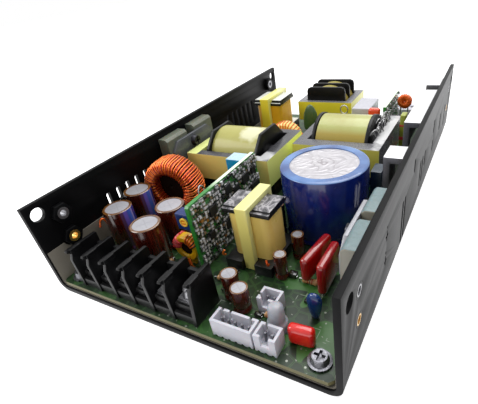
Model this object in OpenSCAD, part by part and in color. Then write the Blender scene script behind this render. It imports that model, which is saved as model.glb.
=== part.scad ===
// Open frame power supply in a U channel chassis.
// The output end faces -Y, the left wall faces -X, the base rests on Z = 0. Units are mm.
// Places called "from end" are measured along the chassis from the output end.

/* [View] */
// Sub-part to draw, or all of them
// Smoothness of large rounds
round_fn = 64; // [32:8:96]

/* [Chassis] */
// Overall width
chassis_w = 122; // [120:0.5:126]
// Overall length
chassis_l = 200; // [198:1:206]
// Height of the side walls
chassis_h = 39; // [38.5:0.5:44]
// Sheet thickness
sheet = 2; // [1.6:0.1:2.2]
// Outer radius of the two long bends
bend_r = 4.5; // [4:0.1:5]
// Diameter of the clear hole near each end of the walls
side_hole_d = 5.6; // [4:0.1:6]
// Width of a vent slot
slot_w = 2.1; // [1.5:0.1:2.6]
// Distance between neighbouring vent slots
slot_pitch = 5.8; // [5:0.1:6.5]
// Bore of the tapped holes in the base
base_tap_d = 3.3; // [2.5:0.1:4]

/* [Clinch nuts] */
// Width across flats
nut_af = 7.2; // [6:0.1:8]
// Height inside the wall
nut_h = 2.2; // [1.5:0.1:3]
// Diameter of the shank in the wall
nut_shank_d = 5.4; // [4.8:0.1:6]
// Bore
nut_bore_d = 3.3; // [2.5:0.1:4.2]

/* [Insulator and board] */
// Thickness of the insulating sheet
film = 0.4; // [0.3:0.05:0.5]
// Height of the sheet beside the output stage
film_high = 18.5; // [16:0.5:22]
// Length of that high part
film_high_l = 62; // [40:1:65]
// Height of the sheet elsewhere
film_low = 9; // [7:0.5:11]
// Thickness of the printed circuit board
board_t = 1.6; // [1.4:0.1:1.6]
// Gap between sheet and board
board_gap = 0.8; // [0.8:0.1:1]
// Gap between each long edge of the board and its wall
board_side_gap = 1.1; // [1:0.1:1.6]
// Setback of the board from each end of the chassis
board_setback = 0.5; // [0.5:0.1:1.6]
// Distance of the board screws from the long edges of the board
screw_inset = 5.8; // [5:0.1:6]
// Distance of the board screws from each end
screw_y = 5.8; // [5.6:0.1:6.2]
// Diameter of the board screw thread
screw_d = 3; // [2.5:0.1:3.2]

/* [Terminal block] */
// Number of wire positions
term_n = 6; // [2:1:6]
// Distance between positions
term_pitch = 9.3; // [9:0.1:9.6]
// Thickness of a barrier
barrier_t = 1.4; // [1:0.1:1.8]
// Distance from the left wall to the centre of the first barrier
term_left = 13; // [12:0.1:15]
// Height of the block above the board
term_h = 17.8; // [16:0.1:19]
// Depth of the block
term_d = 13.2; // [13:0.1:14]

/* [Headers] */
// Distance between header pins
pin_pitch = 2.5; // [2.5:0.01:2.54]
// Height of a header above the board
header_h = 7; // [6.5:0.1:8]
// Depth of a header
header_d = 5.75; // [5.5:0.05:6]
// Wall of a header
header_wall = 0.9; // [0.7:0.1:1.1]

/* [Capacitors] */
// Diameter of the four output capacitors
out_cap_d = 12.5; // [10:0.5:12.5]
// Height of the output capacitors
out_cap_h = 19.6; // [16:0.1:25]
// Diameter of the bulk capacitor
bulk_d = 35; // [30:1:35]
// Height of the bulk capacitor
bulk_h = 29.2; // [25:0.1:32]

/* [Magnetics] */
// Outer diameter of the wound output toroid
toroid_od = 28.2; // [26:0.2:28.4]
// Inner diameter of the wound output toroid
toroid_id = 14; // [13:0.2:15]
// Width of the wound output toroid
toroid_w = 13; // [11:0.2:13.2]
// Turns on the output toroid
toroid_turns = 32; // [20:1:32]
// Height of the two flat cores, and of the line choke core
core_h = 13.7; // [12:0.1:14]
// Height of their top above the floor
core_top = 26.5; // [26:0.1:27]
// Radius of the two flat windings
coil_r = 14; // [12:0.1:14]

/* [Trimmer] */
// Side of the square trimmer body
trim_s = 7; // [6:0.1:7.2]
// Diameter of the slotted rotor
trim_rotor_d = 4; // [3.5:0.1:4.2]

/* [Hidden] */
film_z = sheet;
board_z0 = sheet + film + board_gap;
top = board_z0 + board_t;
wall_in = chassis_w/2 - sheet;
board_w = 2*(wall_in - board_side_gap);
screw_x = board_w/2 - screw_inset;
term_x0 = -wall_in + term_left;
bend_ri = bend_r - sheet;
eps = 0.01;
clear = 0.3;
run = 0.05;
board_l = chassis_l - 2*board_setback;
film_setback = board_setback + 0.2;
film_l = chassis_l - 2*film_setback;

// What stands by a wall, or at the line end, keeps its distance from it
function from_left(d) = -wall_in + d;
function from_right(d) = wall_in - d;
function from_far(d) = chassis_l - d;

// Clear hole, and two clinch nuts, near the output end: [from end, height]
left_hole = [4.8, 34.2];
left_nuts = [[12.6, 30.6], [12.6, 19.7]];
right_hole = [6.0, 32.0];
right_nuts = [[13.8, 28.8], [13.8, 17.8]];

// Upright slots in each wall: [from end, bottom, top]
left_slots = concat([for (i = [0:4]) [35.3 + i*slot_pitch, 20, 26.4]],
                    [for (i = [0:5]) [133.4 + i*slot_pitch, 12, 26.8]]);
right_slots = [[67.2, 4.9, 23.6], [71.2, 4.9, 23.6], [86.6, 25.4, 31.4],
               [102.4, 10.6, 23.2], [107, 10.6, 23.2], [113, 15.6, 23.2],
               [135, 22.5, 29.2], [136, 12.5, 18.6], [158.5, 14.8, 24.2], [176, 10.6, 23.2]];
// Cross shaped punch marks: [from end, height]
crosses = [[42.8, 25.4], [42.4, 15.4]];

// Output capacitors: [x, from end]
out_caps = [[from_left(10.8), 29.8], [from_left(7.8), 44.7],
            [from_left(32.4), 24.2], [from_left(32.8), 38.4]];
bulk_at = [from_right(29.5), 71];
// Small capacitors: [x, from end, diameter, top height]
small_caps = [[from_right(44.9), 18.9, 6.3, 15.8], [from_right(38.3), 14.8, 6.3, 15.1],
              [from_right(32.8), 33.9, 5, 15.8], [from_right(31.6), 46.6, 5, 15.8],
              [from_right(45.3), 58.5, 5, 19.5]];

// Headers: [x of the left side, from end of the front, pins]
wide_at = [from_right(41.9), 1.9, 5];
front_at = [from_right(26.2), 1.9, 2];
rear_at = [from_right(32.6), 15.5, 2];

// Film capacitors: [x, from end, length, thickness, bottom, top, turn]
films = [[from_right(20.9), 39, 17.8, 3.4, 7.2, 19.6, 0],
         [from_right(15.1), 35.4, 15.4, 3.2, 7.2, 19.6, 0],
         [from_right(30.7), from_far(50.7), 8.6, 3.6, 13, 29, 90]];

toroid_at = [from_left(16.6), 59.6];
toroid_z = top + 0.9 + toroid_od/2;
small_toroid_at = [-12.3, 29.2];

control_at = [-5.7, 26.6];
control_l = 47.5;
control_top = 34;

aux_at = [13.1, 42.6];
aux_core = [4.8, 19, 27.3];
main_at = [from_left(33.3), 99.3];
main_core = [47.2, 38.6];
boost_at = [from_right(35.9), 123.4];
boost_core = [44.4, 44.8];
choke_at = [-8.7, from_far(18.4)];
choke_core = [35.6, 27];
rear_at_core = [from_left(17.2), from_far(36)];
rear_core = [5.8, 27, 26.5];

cap_t = 5.6;
left_cap_at = [72.6, 94];
right_cap_at = [20.4, 39.8];

// Moves a point given as [x, from end] into the part's frame
module place(x, e, z = 0) { translate([x, e - chassis_l/2, z]) children(); }

// Box from its lowest corner given as x, from end, z
module slab(x, e, z, size) { place(x, e, z) cube(size); }

// Round bar along X, Y or Z, centred on the origin
module bar_x(r, l, fn = round_fn) { rotate([0, 90, 0]) cylinder(r = r, h = l, center = true, $fn = fn); }
module bar_y(r, l, fn = round_fn) { rotate([90, 0, 0]) cylinder(r = r, h = l, center = true, $fn = fn); }

// Both ends of the chassis, mirrored
module both_ends() { children(); mirror([0, 1, 0]) children(); }

// ---------------------------------------------------------------- chassis

// Quarter bend along the chassis, between two radii
module bend(side, r0, r1, l, e0) {
  place(side*(chassis_w/2 - bend_r), e0 + l/2, bend_r) intersection() {
    difference() { bar_y(r1, l); bar_y(r0, l + 1); }
    translate([side > 0 ? 0 : -bend_r, -l/2, -bend_r]) cube([bend_r, l, bend_r]);
  }
}

// Slot with round ends through a wall
module wall_slot(side, s) {
  place(side*(chassis_w/2 - sheet/2), s[0], 0) {
    translate([-sheet, -slot_w/2, s[1] + slot_w/2]) cube([2*sheet, slot_w, s[2] - s[1] - slot_w]);
    for (z = [s[1] + slot_w/2, s[2] - slot_w/2]) translate([0, 0, z]) bar_x(slot_w/2, 2*sheet, 24);
  }
}

module wall_bore(side, p, d) {
  place(side*(chassis_w/2 - sheet/2), p[0], p[1]) bar_x(d/2, 2*sheet, 32);
}

module cross_mark(c) {
  place(chassis_w/2 - sheet/2, c[0], c[1]) {
    cube([2*sheet, 0.9, 4], center = true);
    cube([2*sheet, 3, 0.9], center = true);
    translate([0, 0, 3.4]) bar_x(0.5, 2*sheet, 16);
  }
}

module base_holes(d) {
  for (x = [-50, 50], e = [40, 160]) place(x, e, sheet/2)
    cylinder(d = d, h = 2*sheet, center = true, $fn = 32);
}

module chassis() color([0.09, 0.09, 0.1]) difference() {
  union() {
    slab(-chassis_w/2 + bend_r, 0, 0, [chassis_w - 2*bend_r, chassis_l, sheet]);
    for (s = [-1, 1]) {
      bend(s, bend_ri, bend_r, chassis_l, 0);
      slab(s > 0 ? wall_in : -chassis_w/2, 0, bend_r, [sheet, chassis_l, chassis_h - bend_r]);
    }
  }
  both_ends() {
    wall_bore(-1, left_hole, side_hole_d);
    wall_bore(1, right_hole, side_hole_d);
    for (n = left_nuts) wall_bore(-1, n, nut_shank_d);
    for (n = right_nuts) wall_bore(1, n, nut_shank_d);
    for (x = [-screw_x, screw_x])
      place(x, screw_y, sheet/2) cylinder(d = screw_d + 2*run, h = 2*sheet, center = true, $fn = 32);
  }
  for (s = left_slots) wall_slot(-1, s);
  for (s = right_slots) wall_slot(1, s);
  for (c = crosses) cross_mark(c);
  base_holes(base_tap_d);
}

// Clinch nut pressed into a wall from inside
module clinch_nut(side, p) {
  place(side*wall_in, p[0], p[1]) rotate([0, side*90, 0]) difference() {
    union() {
      cylinder(d = nut_shank_d, h = sheet, $fn = 32);
      translate([0, 0, -nut_h]) rotate([0, 0, 30])
        cylinder(d = nut_af/cos(30), h = nut_h, $fn = 6);
    }
    translate([0, 0, -nut_h - 1]) cylinder(d = nut_bore_d, h = nut_h + sheet + 2, $fn = 32);
  }
}

module clinch_nuts() color([0.8, 0.68, 0.4]) both_ends() {
  for (n = left_nuts) clinch_nut(-1, n);
  for (n = right_nuts) clinch_nut(1, n);
}

// ------------------------------------------------- insulator, board, board screws

module insulator_sheet() color([0.55, 0.52, 0.46]) difference() {
  union() {
    slab(-chassis_w/2 + bend_r, film_setback, film_z, [chassis_w - 2*bend_r, film_l, film]);
    for (s = [-1, 1]) {
      bend(s, bend_ri - film, bend_ri, film_l, film_setback);
      slab(s > 0 ? wall_in - film : -wall_in, film_setback, bend_r, [film, film_l, film_low - bend_r]);
    }
    slab(-wall_in, film_setback, film_low, [film, film_high_l, film_high - film_low]);
  }
  both_ends() for (x = [-screw_x, screw_x])
    place(x, screw_y, sheet) cylinder(d = screw_d + 2*clear, h = 4, center = true, $fn = 32);
  place(-wall_in, left_nuts[1][0], left_nuts[1][1]) bar_x(nut_af/2 + 0.8, 2, 32);
}

module board_spacers() color([0.75, 0.76, 0.78]) both_ends() for (x = [-screw_x, screw_x])
  place(x, screw_y, film_z + film) difference() {
    cylinder(d = 6.4, h = board_gap, $fn = 48);
    translate([0, 0, -1]) cylinder(d = screw_d + 2*clear, h = board_gap + 2, $fn = 32);
  }

module main_board() color([0.08, 0.3, 0.14]) difference() {
  slab(-board_w/2, board_setback, board_z0, [board_w, board_l, board_t]);
  both_ends() for (x = [-screw_x, screw_x])
    place(x, screw_y, board_z0 - 1) cylinder(d = screw_d + 2*clear, h = 4, $fn = 32);
  for (c = [-1, 1], e = [board_setback, chassis_l - board_setback])
    place(c*board_w/2, e, board_z0 + board_t/2) rotate([0, 0, 45]) cube([2, 2, 4], center = true);
}

// Pan head screw with its captive toothed washer; the thread runs down from the seat
module pan_screw(d, head_d, head_h, washer_d, washer_t, thread_l) {
  union() {
    difference() {
      union() {
        if (washer_d > 0) cylinder(d = washer_d, h = washer_t, $fn = 36);
        translate([0, 0, washer_t]) cylinder(d1 = head_d, d2 = head_d*0.82, h = head_h, $fn = 48);
      }
      for (a = [0, 90]) rotate([0, 0, a]) translate([-head_d*0.3, -0.45, washer_t + head_h*0.45])
        cube([head_d*0.6, 0.9, head_h]);
      if (washer_d > 0) for (a = [0:30:330]) rotate([0, 0, a])
        translate([washer_d/2 - 0.5, -0.35, -1]) cube([1, 0.7, washer_t + 1 - eps]);
    }
    translate([0, 0, -thread_l]) cylinder(d = d, h = thread_l + washer_t/2, $fn = 32);
  }
}

module board_screws() color([0.75, 0.76, 0.78]) both_ends() for (x = [-screw_x, screw_x])
  place(x, screw_y, top) pan_screw(screw_d, 5.8, 2.2, 7.4, 0.8, top - 0.2);

// ---------------------------------------------------------------- terminal block

term_y = 2.0;
term_floor = 6.2;
term_w = term_n*term_pitch;
function term_x(i) = term_x0 + i*term_pitch;

last_back = 1.6;
function nose(i) = i == term_n ? last_back : 0;

// Outline of a barrier seen from the side, from the front foot; its nose may stand back
module barrier(f) {
  rotate([90, 0, 90]) linear_extrude(barrier_t) polygon([[0, 0], [term_d, 0],
    [term_d, term_h - 0.5], [term_d - 0.6, term_h - 0.2], [f - 0.4, term_h], [f - 0.8, term_h - 0.7],
    [f + 0.9, term_h - 2.2], [f - 0.1, term_h - 4.6]]);
}

module terminal_block() color([0.07, 0.07, 0.08]) difference() {
  union() {
    slab(term_x0 - barrier_t/2, term_y + 2.2, top, [term_w + barrier_t, term_d - 2.2, term_floor]);
    slab(term_x0 - barrier_t/2, term_y + 0.5, top, [term_w + barrier_t, 2, 3.6]);
    slab(term_x0 - barrier_t/2, term_y + term_d - 1.6, top, [term_w + barrier_t, 1.6, term_h - 4.4]);
    for (i = [0:term_n]) {
      place(term_x(i) - barrier_t/2, term_y, top) barrier(nose(i));
      place(term_x(i) - barrier_t/2 - 0.4, term_y + 0.6 + nose(i), top + term_h - 1.7)
        cube([barrier_t + 0.8, 4.6, 1.55]);
    }
  }
  for (i = [0:term_n - 1]) place(term_x(i + 0.5), term_y + 6.6, top + 2)
    cylinder(d = 3.5 + 2*run, h = term_h, $fn = 32);
}

module terminal_clamps() color([0.72, 0.72, 0.7]) for (i = [0:term_n - 1])
  place(term_x(i + 0.5), term_y, top + term_floor) difference() {
    union() {
      translate([-3.4, 3, 0]) cube([6.8, 8, 0.8]);
      translate([-3.1, 3.4, 0.8]) cube([6.2, 6.4, 0.9]);
    }
    translate([0, 6.6, -1]) cylinder(d = 3.5 + 2*run, h = 4, $fn = 32);
  }

module terminal_screws() color([0.78, 0.78, 0.78]) for (i = [0:term_n - 1])
  place(term_x(i + 0.5), term_y + 6.6, top + term_floor + 1.7) pan_screw(3.5, 5.8, 2.4, 0, 0, 4.5);

// ---------------------------------------------------------------- headers

function header_w(n) = (n - 1)*pin_pitch + 4.9;

// Open topped shroud standing at its front left corner
module shroud(n) {
  w = header_w(n);
  difference() {
    cube([w, header_d, header_h]);
    translate([header_wall, header_wall, 2]) cube([w - 2*header_wall, header_d - 2*header_wall, header_h]);
    for (i = [0:n]) translate([w*(i + 0.5)/(n + 1), 0, 0]) bar_y(0.55, 3*header_d, 20);
    for (i = [0:n - 1]) translate([2.45 + i*pin_pitch, header_d/2 + 0.3, 1])
      cylinder(d = 0.9, h = 4, $fn = 16);
  }
}

module wide_header() color([0.9, 0.9, 0.92]) place(wide_at[0], wide_at[1], top) {
  w = header_w(wide_at[2]);
  difference() {
    shroud(wide_at[2]);
    for (x = [1.2, 4.2, w - 3.2]) translate([x, header_d - 1.5, 3.4]) cube([0.9, 3, header_h]);
  }
}

module front_header() color([0.9, 0.9, 0.92]) place(front_at[0], front_at[1], top) {
  w = header_w(front_at[2]);
  difference() {
    shroud(front_at[2]);
    translate([w/2 - 1.5, -1, 3]) cube([3, 3, header_h]);
    translate([w/2 - 2, header_d - 2, 4]) cube([0.8, 3, header_h]);
  }
}

module rear_header() color([0.9, 0.9, 0.92]) place(rear_at[0], rear_at[1], top) {
  difference() {
    shroud(rear_at[2]);
    translate([-1, 1.7, 3.6]) cube([3, 0.9, header_h]);
    translate([1.6, -1, 3]) cube([2.6, 3, header_h]);
  }
}

module pins_of(at) {
  place(at[0], at[1], top) for (i = [0:at[2] - 1])
    translate([2.45 + i*pin_pitch - 0.32, header_d/2 + 0.3 - 0.32, 1.2]) cube([0.64, 0.64, 4.4]);
}

module header_pins() color([0.82, 0.82, 0.8]) { pins_of(wide_at); pins_of(front_at); pins_of(rear_at); }

// ---------------------------------------------------------------- small upright parts

led_at = [from_right(23.2), 11.7];
module status_led() color([0.86, 0.88, 0.9]) place(led_at[0], led_at[1], top) {
  cylinder(r = 2.9, h = 2.9, $fn = 40);
  translate([0, 0, 2.8]) cylinder(r = 3.4, h = 1.4, $fn = 48);
  translate([0, 0, 4.1]) cylinder(r1 = 2.75, r2 = 2.6, h = 5.2, $fn = 48);
  translate([0, 0, 9.2]) cylinder(r1 = 2.6, r2 = 1.6, h = 1.9, $fn = 48);
}

// Sleeved can: rounded shoulder, rolled groove near the foot, metal disc let into the top
module can(d, h) {
  s = min(0.9, d*0.06);
  rotate_extrude($fn = round_fn) polygon([[0, 0], [d/2 - 0.4, 0], [d/2, 0.5], [d/2, d*0.12],
    [d/2 - s*0.6, d*0.16], [d/2 - s*0.6, d*0.2], [d/2, d*0.24], [d/2, h - s], [d/2 - s*0.35, h - s*0.3],
    [d/2 - s, h], [d*0.39, h], [d*0.38, h - s*0.5], [0, h - s*0.5]]);
}

module output_capacitor(i) {
  color([0.32, 0.12, 0.07]) place(out_caps[i - 1][0], out_caps[i - 1][1], top) can(out_cap_d, out_cap_h);
}

module bulk_capacitor() color([0.08, 0.13, 0.5]) place(bulk_at[0], bulk_at[1], top) can(bulk_d, bulk_h);

module small_capacitors() color([0.3, 0.11, 0.06]) for (c = small_caps)
  place(c[0], c[1], top) can(c[2], c[3] - top);

// Dipped film capacitor: a slab with chamfered edges on two legs
module film_body(l, t, z0, z1) {
  h = z1 - z0;
  c = t*0.3;
  translate([0, 0, z0]) union() {
    rotate([90, 0, 90]) linear_extrude(t - 2*c, center = true)
      polygon([[-l/2 + c, 0], [l/2 - c, 0], [l/2, c], [l/2, h - 2*c], [l/2 - 2*c, h],
        [-l/2 + 2*c, h], [-l/2, h - 2*c], [-l/2, c]]);
    rotate([90, 0, 90]) linear_extrude(t, center = true)
      polygon([[-l/2 + 2*c, c], [l/2 - 2*c, c], [l/2 - c, 2*c], [l/2 - c, h - 3*c], [l/2 - 3*c, h - c],
        [-l/2 + 3*c, h - c], [-l/2 + c, h - 3*c], [-l/2 + c, 2*c]]);
  }
}

module two_legs(spread, z1, r = 0.35, along_x = false) {
  for (s = [-1, 1]) translate([along_x ? s*spread/2 : 0, along_x ? 0 : s*spread/2, top])
    cylinder(r = r, h = z1 - top, $fn = 16);
}

module film_capacitors() color([0.66, 0.07, 0.06]) for (f = films) place(f[0], f[1]) rotate([0, 0, f[6]]) {
  film_body(f[2], f[3], f[4], f[5]);
  two_legs(f[2]*0.62, f[4] + 1);
}

module small_film_capacitor() color([0.75, 0.08, 0.07]) place(from_right(13.6), 11.4) rotate([0, 0, 94]) {
  film_body(8.6, 3.6, 5.3, 12.6);
  two_legs(5, 6.2);
}

// Dipped drop facing the output end: round above, drawn in to its two legs below
module drop_face(w, z0, z1) {
  polygon(concat([[-w*0.3, z0], [w*0.3, z0]],
    [for (a = [-20:20:200]) [w/2*cos(a), z1 - w/2 + w/2*sin(a)]]));
}
module drop_part(w, t, z0, z1, spread) {
  rotate([90, 0, 0]) {
    linear_extrude(t*0.55, center = true) drop_face(w, z0, z1);
    linear_extrude(t, center = true) drop_face(w - t*0.5, z0 + t*0.25, z1 - t*0.25);
  }
  two_legs(spread, z0 + t*0.5, 0.35, true);
}

module disc_capacitor() color([0.07, 0.14, 0.5]) place(from_right(14), 20) drop_part(5.2, 3, 6, 16.8, 2.4);

module varistor() color([0.2, 0.42, 0.16]) place(-10.4, from_far(49.5)) drop_part(9.6, 4.4, 13.5, 29.5, 5);

box_gap = 0.4;
module box_capacitor() color([0.1, 0.55, 0.75]) {
  e1 = main_at[1] - main_core[1]/2 - box_gap;
  difference() {
    slab(-19.2, e1 - 7.6, top, [10.4, 7.6, 25]);
    slab(-17.4, e1 - 9, top - eps, [6.8, 12, 0.8]);
  }
}

// ---------------------------------------------------------------- wound toroids

// Standing core with the axis along Y
module ring_core(od, id, w) {
  difference() { bar_y(od/2, w); bar_y(id/2, w + 1, 48); }
}

// Loops of wire around the ring, each a flat frame with cut corners standing radially
module ring_winding(od, id, w, wire, turns, from_a, to_a) {
  c = wire*0.6;
  r0 = id/2;
  r1 = od/2;
  y = w/2;
  for (i = [0:turns - 1]) rotate([0, -(from_a + (to_a - from_a)*i/(turns - 1)), 0])
    linear_extrude(wire*0.86, center = true) difference() {
      polygon([[r0 + c, -y], [r1 - c, -y], [r1, -y + c], [r1, y - c], [r1 - c, y], [r0 + c, y],
        [r0, y - c], [r0, -y + c]]);
      translate([r0 + wire, -y + wire]) square([r1 - r0 - 2*wire, 2*y - 2*wire]);
    }
}

wire_d = 1.5;
module output_toroid_core() color([0.2, 0.16, 0.1])
  place(toroid_at[0], toroid_at[1], toroid_z) rotate([0, 0, 9]) {
    ring_core(toroid_od - 2*wire_d - 0.2, toroid_id + 2*wire_d + 0.2, toroid_w - 2*wire_d - 0.2);
    translate([0, 0, -toroid_z + top]) difference() {
      translate([-8, -4, 0]) cube([16, 8, toroid_z - top - toroid_od/2 + 2.2]);
      translate([0, 0, toroid_z - top]) bar_y(toroid_od/2 + 0.3, 20);
    }
  }

module output_toroid_winding() color([0.85, 0.36, 0.14])
  place(toroid_at[0], toroid_at[1], toroid_z) rotate([0, 0, 9])
    ring_winding(toroid_od, toroid_id, toroid_w, wire_d, toroid_turns, -78, 258);

small_od = 12.4;
small_id = 5;
small_w = 5.4;
small_z = top + 0.8 + small_od/2;
module small_toroid_core() color([0.85, 0.72, 0.1])
  place(small_toroid_at[0], small_toroid_at[1], small_z) {
    ring_core(small_od - 1.6, small_id + 1.6, small_w - 1.6);
    translate([-2.5, -1, -small_od/2 - 0.8]) cube([5, 2, 1.9]);
  }

module small_toroid_winding() color([0.8, 0.3, 0.14])
  place(small_toroid_at[0], small_toroid_at[1], small_z)
    for (k = [[40, 150, 8], [178, 225, 4]]) ring_winding(small_od, small_id, small_w, 0.7, k[2], k[0], k[1]);

// Two small chokes at the rear, each a solid ring on a foot
module rear_toroids() color([0.78, 0.34, 0.1]) {
  place(-14.6, 125.2, top + 0.6 + 9.4) difference() { bar_y(9.4, 7.4); bar_y(3.4, 9); }
  slab(-17, 124, top, [4.8, 2.4, 2]);
  place(lead_ring_at[0], lead_ring_at[1]) {
    translate([0, 0, lead_ring_z]) difference() { bar_y(4, 4.4, 40); bar_y(1.2, 6, 24); }
    for (x = [-2, 2]) translate([x, 0, top]) cylinder(r = 0.4, h = lead_ring_z - 2.8 - top, $fn = 16);
  }
}
lead_ring_at = [from_right(18.6), from_far(31.5)];
lead_ring_z = 26.8;

// ---------------------------------------------------------------- control board

module control_board() color([0.1, 0.45, 0.18]) difference() {
  slab(control_at[0], control_at[1], top + 1.2, [1.6, control_l, control_top - top - 1.2]);
  for (k = [0, 1]) place(control_at[0] + 0.8, control_at[1] + (k > 0 ? control_l : 0), control_top)
    rotate([45, 0, 0]) cube([3, 1, 1], center = true);
}

// Integrated circuits and larger parts on the right face: [from end, height, length, height of part]
chips = [[60, 27.2, 5, 4], [53, 24.4, 4, 6.2], [66, 20, 6.2, 4], [36, 26, 4, 4], [44, 15, 6.2, 4],
         [33, 17, 3, 3], [58, 13.4, 4, 6.2], [67.5, 28, 3, 3]];
module control_chips() color([0.09, 0.09, 0.1]) for (c = chips)
  slab(control_at[0] + 1.6, c[0], c[1] - c[3]/2, [1.5, c[2], c[3]]);

module control_pins() color([0.8, 0.8, 0.78]) for (i = [0:11])
  slab(control_at[0] + 0.5, control_at[1] + 4 + i*3.5, top, [0.6, 0.6, 1.2]);

// Square single turn trimmer on the left face of the control board, rotor to the output end
trim_e = 27.6;
trim_d = 4.8;
trim_x = control_at[0] - trim_s;
trim_z = control_top - trim_s - 4.6;
rotor_h = 1;
module trimmer_body() color([0.06, 0.16, 0.55]) difference() {
  slab(trim_x, trim_e, trim_z, [trim_s, trim_d, trim_s]);
  place(trim_x + trim_s/2, trim_e + rotor_h/2 - 0.5, trim_z + trim_s/2)
    bar_y(trim_rotor_d/2 + run, rotor_h + 1, 40);
}

module trimmer_rotor() color([0.95, 0.72, 0.12]) difference() {
  place(trim_x + trim_s/2, trim_e + rotor_h/2 - 0.1 - run, trim_z + trim_s/2)
    bar_y(trim_rotor_d/2, rotor_h + 0.2, 40);
  place(trim_x + trim_s/2, trim_e - 0.2, trim_z + trim_s/2) cube([3, 1, 0.7], center = true);
}

// ---------------------------------------------------------------- upright transformers

// Closed core loop in the YZ plane with a centre leg; size is thickness, depth, height
module upright_core(size, leg, window) {
  translate([-size[0]/2, -size[1]/2, 0]) difference() {
    cube(size);
    for (y = [leg, size[1]/2 + leg]) translate([-1, y, leg])
      cube([size[0] + 2, size[1]/2 - 2*leg, size[2] - 2*leg]);
  }
}

// Coil former round the centre leg: two flanges and two feet
module upright_bobbin(size, leg, w, foot_z) {
  yi = size[1] - 2*leg - 2*clear;
  difference() {
    union() {
      for (z = [leg + clear, size[2] - leg - 1.6 - clear]) translate([-w/2, -yi/2, z]) cube([w, yi, 1.6]);
      for (s = [-1, 1]) {
        translate([s > 0 ? size[0]/2 + clear : -w/2 - 0.3, -size[1]/2 - 1.4, foot_z])
          cube([w/2 + 0.3 - size[0]/2 - clear, size[1] + 2.8, leg + clear + 1.6 - foot_z]);
        translate([s > 0 ? size[0]/2 + clear : -w/2, -yi/2 + 1.2, size[2] - leg - 1.6 - clear])
          cube([w/2 - size[0]/2 - clear, yi - 2.4, leg + 0.1]);
      }
      translate([-size[0]/2 - 1.1, -leg - 1.1, leg + clear])
        cube([size[0] + 2.2, 2*leg + 2.2, size[2] - 2*leg - 2*clear]);
    }
    translate([-size[0]/2 - clear/2, -leg - clear/2, -1])
      cube([size[0] + clear, 2*leg + clear, size[2] + 2]);
  }
}

// Taped winding between the flanges: a rounded block with a hole for the former
module upright_winding(size, leg, w) {
  yi = size[1] - 2*leg - 2*clear - 0.6;
  z0 = leg + clear + 1.6;
  h = size[2] - 2*leg - 3.2 - 2*clear;
  wx = w - 1.6;
  r = 3.4;
  translate([0, 0, z0]) difference() {
    union() {
      translate([-wx/2 + r, -yi/2, 0]) cube([wx - 2*r, yi, h]);
      translate([-wx/2, -yi/2 + r, 0]) cube([wx, yi - 2*r, h]);
      for (x = [-1, 1], y = [-1, 1]) translate([x*(wx/2 - r), y*(yi/2 - r), 0])
        cylinder(r = r, h = h, $fn = 32);
    }
    translate([-size[0]/2 - 1.1, -leg - 1.1, -1]) cube([size[0] + 2.2, 2*leg + 2.2, h + 2]);
  }
}

aux_leg = 2.3;
aux_w = 19.4;
module aux_core() color([0.85, 0.8, 0.35]) place(aux_at[0], aux_at[1], top + 0.2)
  upright_core(aux_core, aux_leg);
module aux_bobbin() color([0.08, 0.08, 0.09]) place(aux_at[0], aux_at[1], top + 0.2)
  upright_bobbin(aux_core, aux_leg, aux_w, -0.2);
module aux_winding() color([0.8, 0.66, 0.25]) place(aux_at[0], aux_at[1], top + 0.2)
  upright_winding(aux_core, aux_leg, aux_w);

rear_leg = 3.2;
rear_w = 18.8;
module rear_core_part() color([0.85, 0.78, 0.2]) place(rear_at_core[0], rear_at_core[1], top + 0.2)
  upright_core(rear_core, rear_leg);
module rear_bobbin() color([0.08, 0.08, 0.09]) place(rear_at_core[0], rear_at_core[1], top + 0.2)
  upright_bobbin(rear_core, rear_leg, rear_w, -0.2);
module rear_winding() color([0.85, 0.62, 0.12]) place(rear_at_core[0], rear_at_core[1], top + 0.2)
  upright_winding(rear_core, rear_leg, rear_w);

// ---------------------------------------------------------------- flat transformers

end_t = 5.7;
side_t = 4.6;
post_r = 5.6;
zc = core_top - core_h/2;

// Flat core lying on its side: a frame with a round post through it along X
module flat_core(size, h, ends, sides, pr) {
  difference() {
    translate([-size[0]/2, -size[1]/2, -h/2]) cube([size[0], size[1], h]);
    translate([-size[0]/2 + ends, -size[1]/2 + sides, -h]) cube([size[0] - 2*ends, size[1] - 2*sides, 2*h]);
  }
  bar_x(pr, size[0] - 2*ends + 1);
}

// Cheek with its two upper corners cut off, or a round one
module cheek_plate(r, round) {
  if (round) translate([0.8, 0, 0]) bar_x(r, 1.6, 64);
  else rotate([90, 0, 90]) linear_extrude(1.6) polygon([[-r, -r + 0.2], [r, -r + 0.2], [r, r*0.5],
    [r*0.5, r], [-r*0.5, r], [-r, r*0.5]]);
}

// Coil former: a tube, two cheeks and two feet with the pins moulded in; cheek is [left, right] in X
module flat_bobbin(cheek, tube_l, x0, pr, r, foot, foot_top, foot_w, round = false) {
  difference() {
    union() {
      translate([x0 + tube_l/2, 0, 0]) bar_x(pr + 1.2, tube_l);
      for (c = cheek) translate([c, 0, 0]) cheek_plate(r, round);
    }
    bar_x(pr + clear/2, 200);
  }
  for (f = foot) translate([f, -foot_w/2, top - zc]) cube([7, foot_w, foot_top - top]);
}

module flat_winding(x0, x1, r, pr) {
  translate([(x0 + x1)/2, 0, 0]) difference() { bar_x(r, x1 - x0, 96); bar_x(pr, x1 - x0 + 1); }
}

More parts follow.
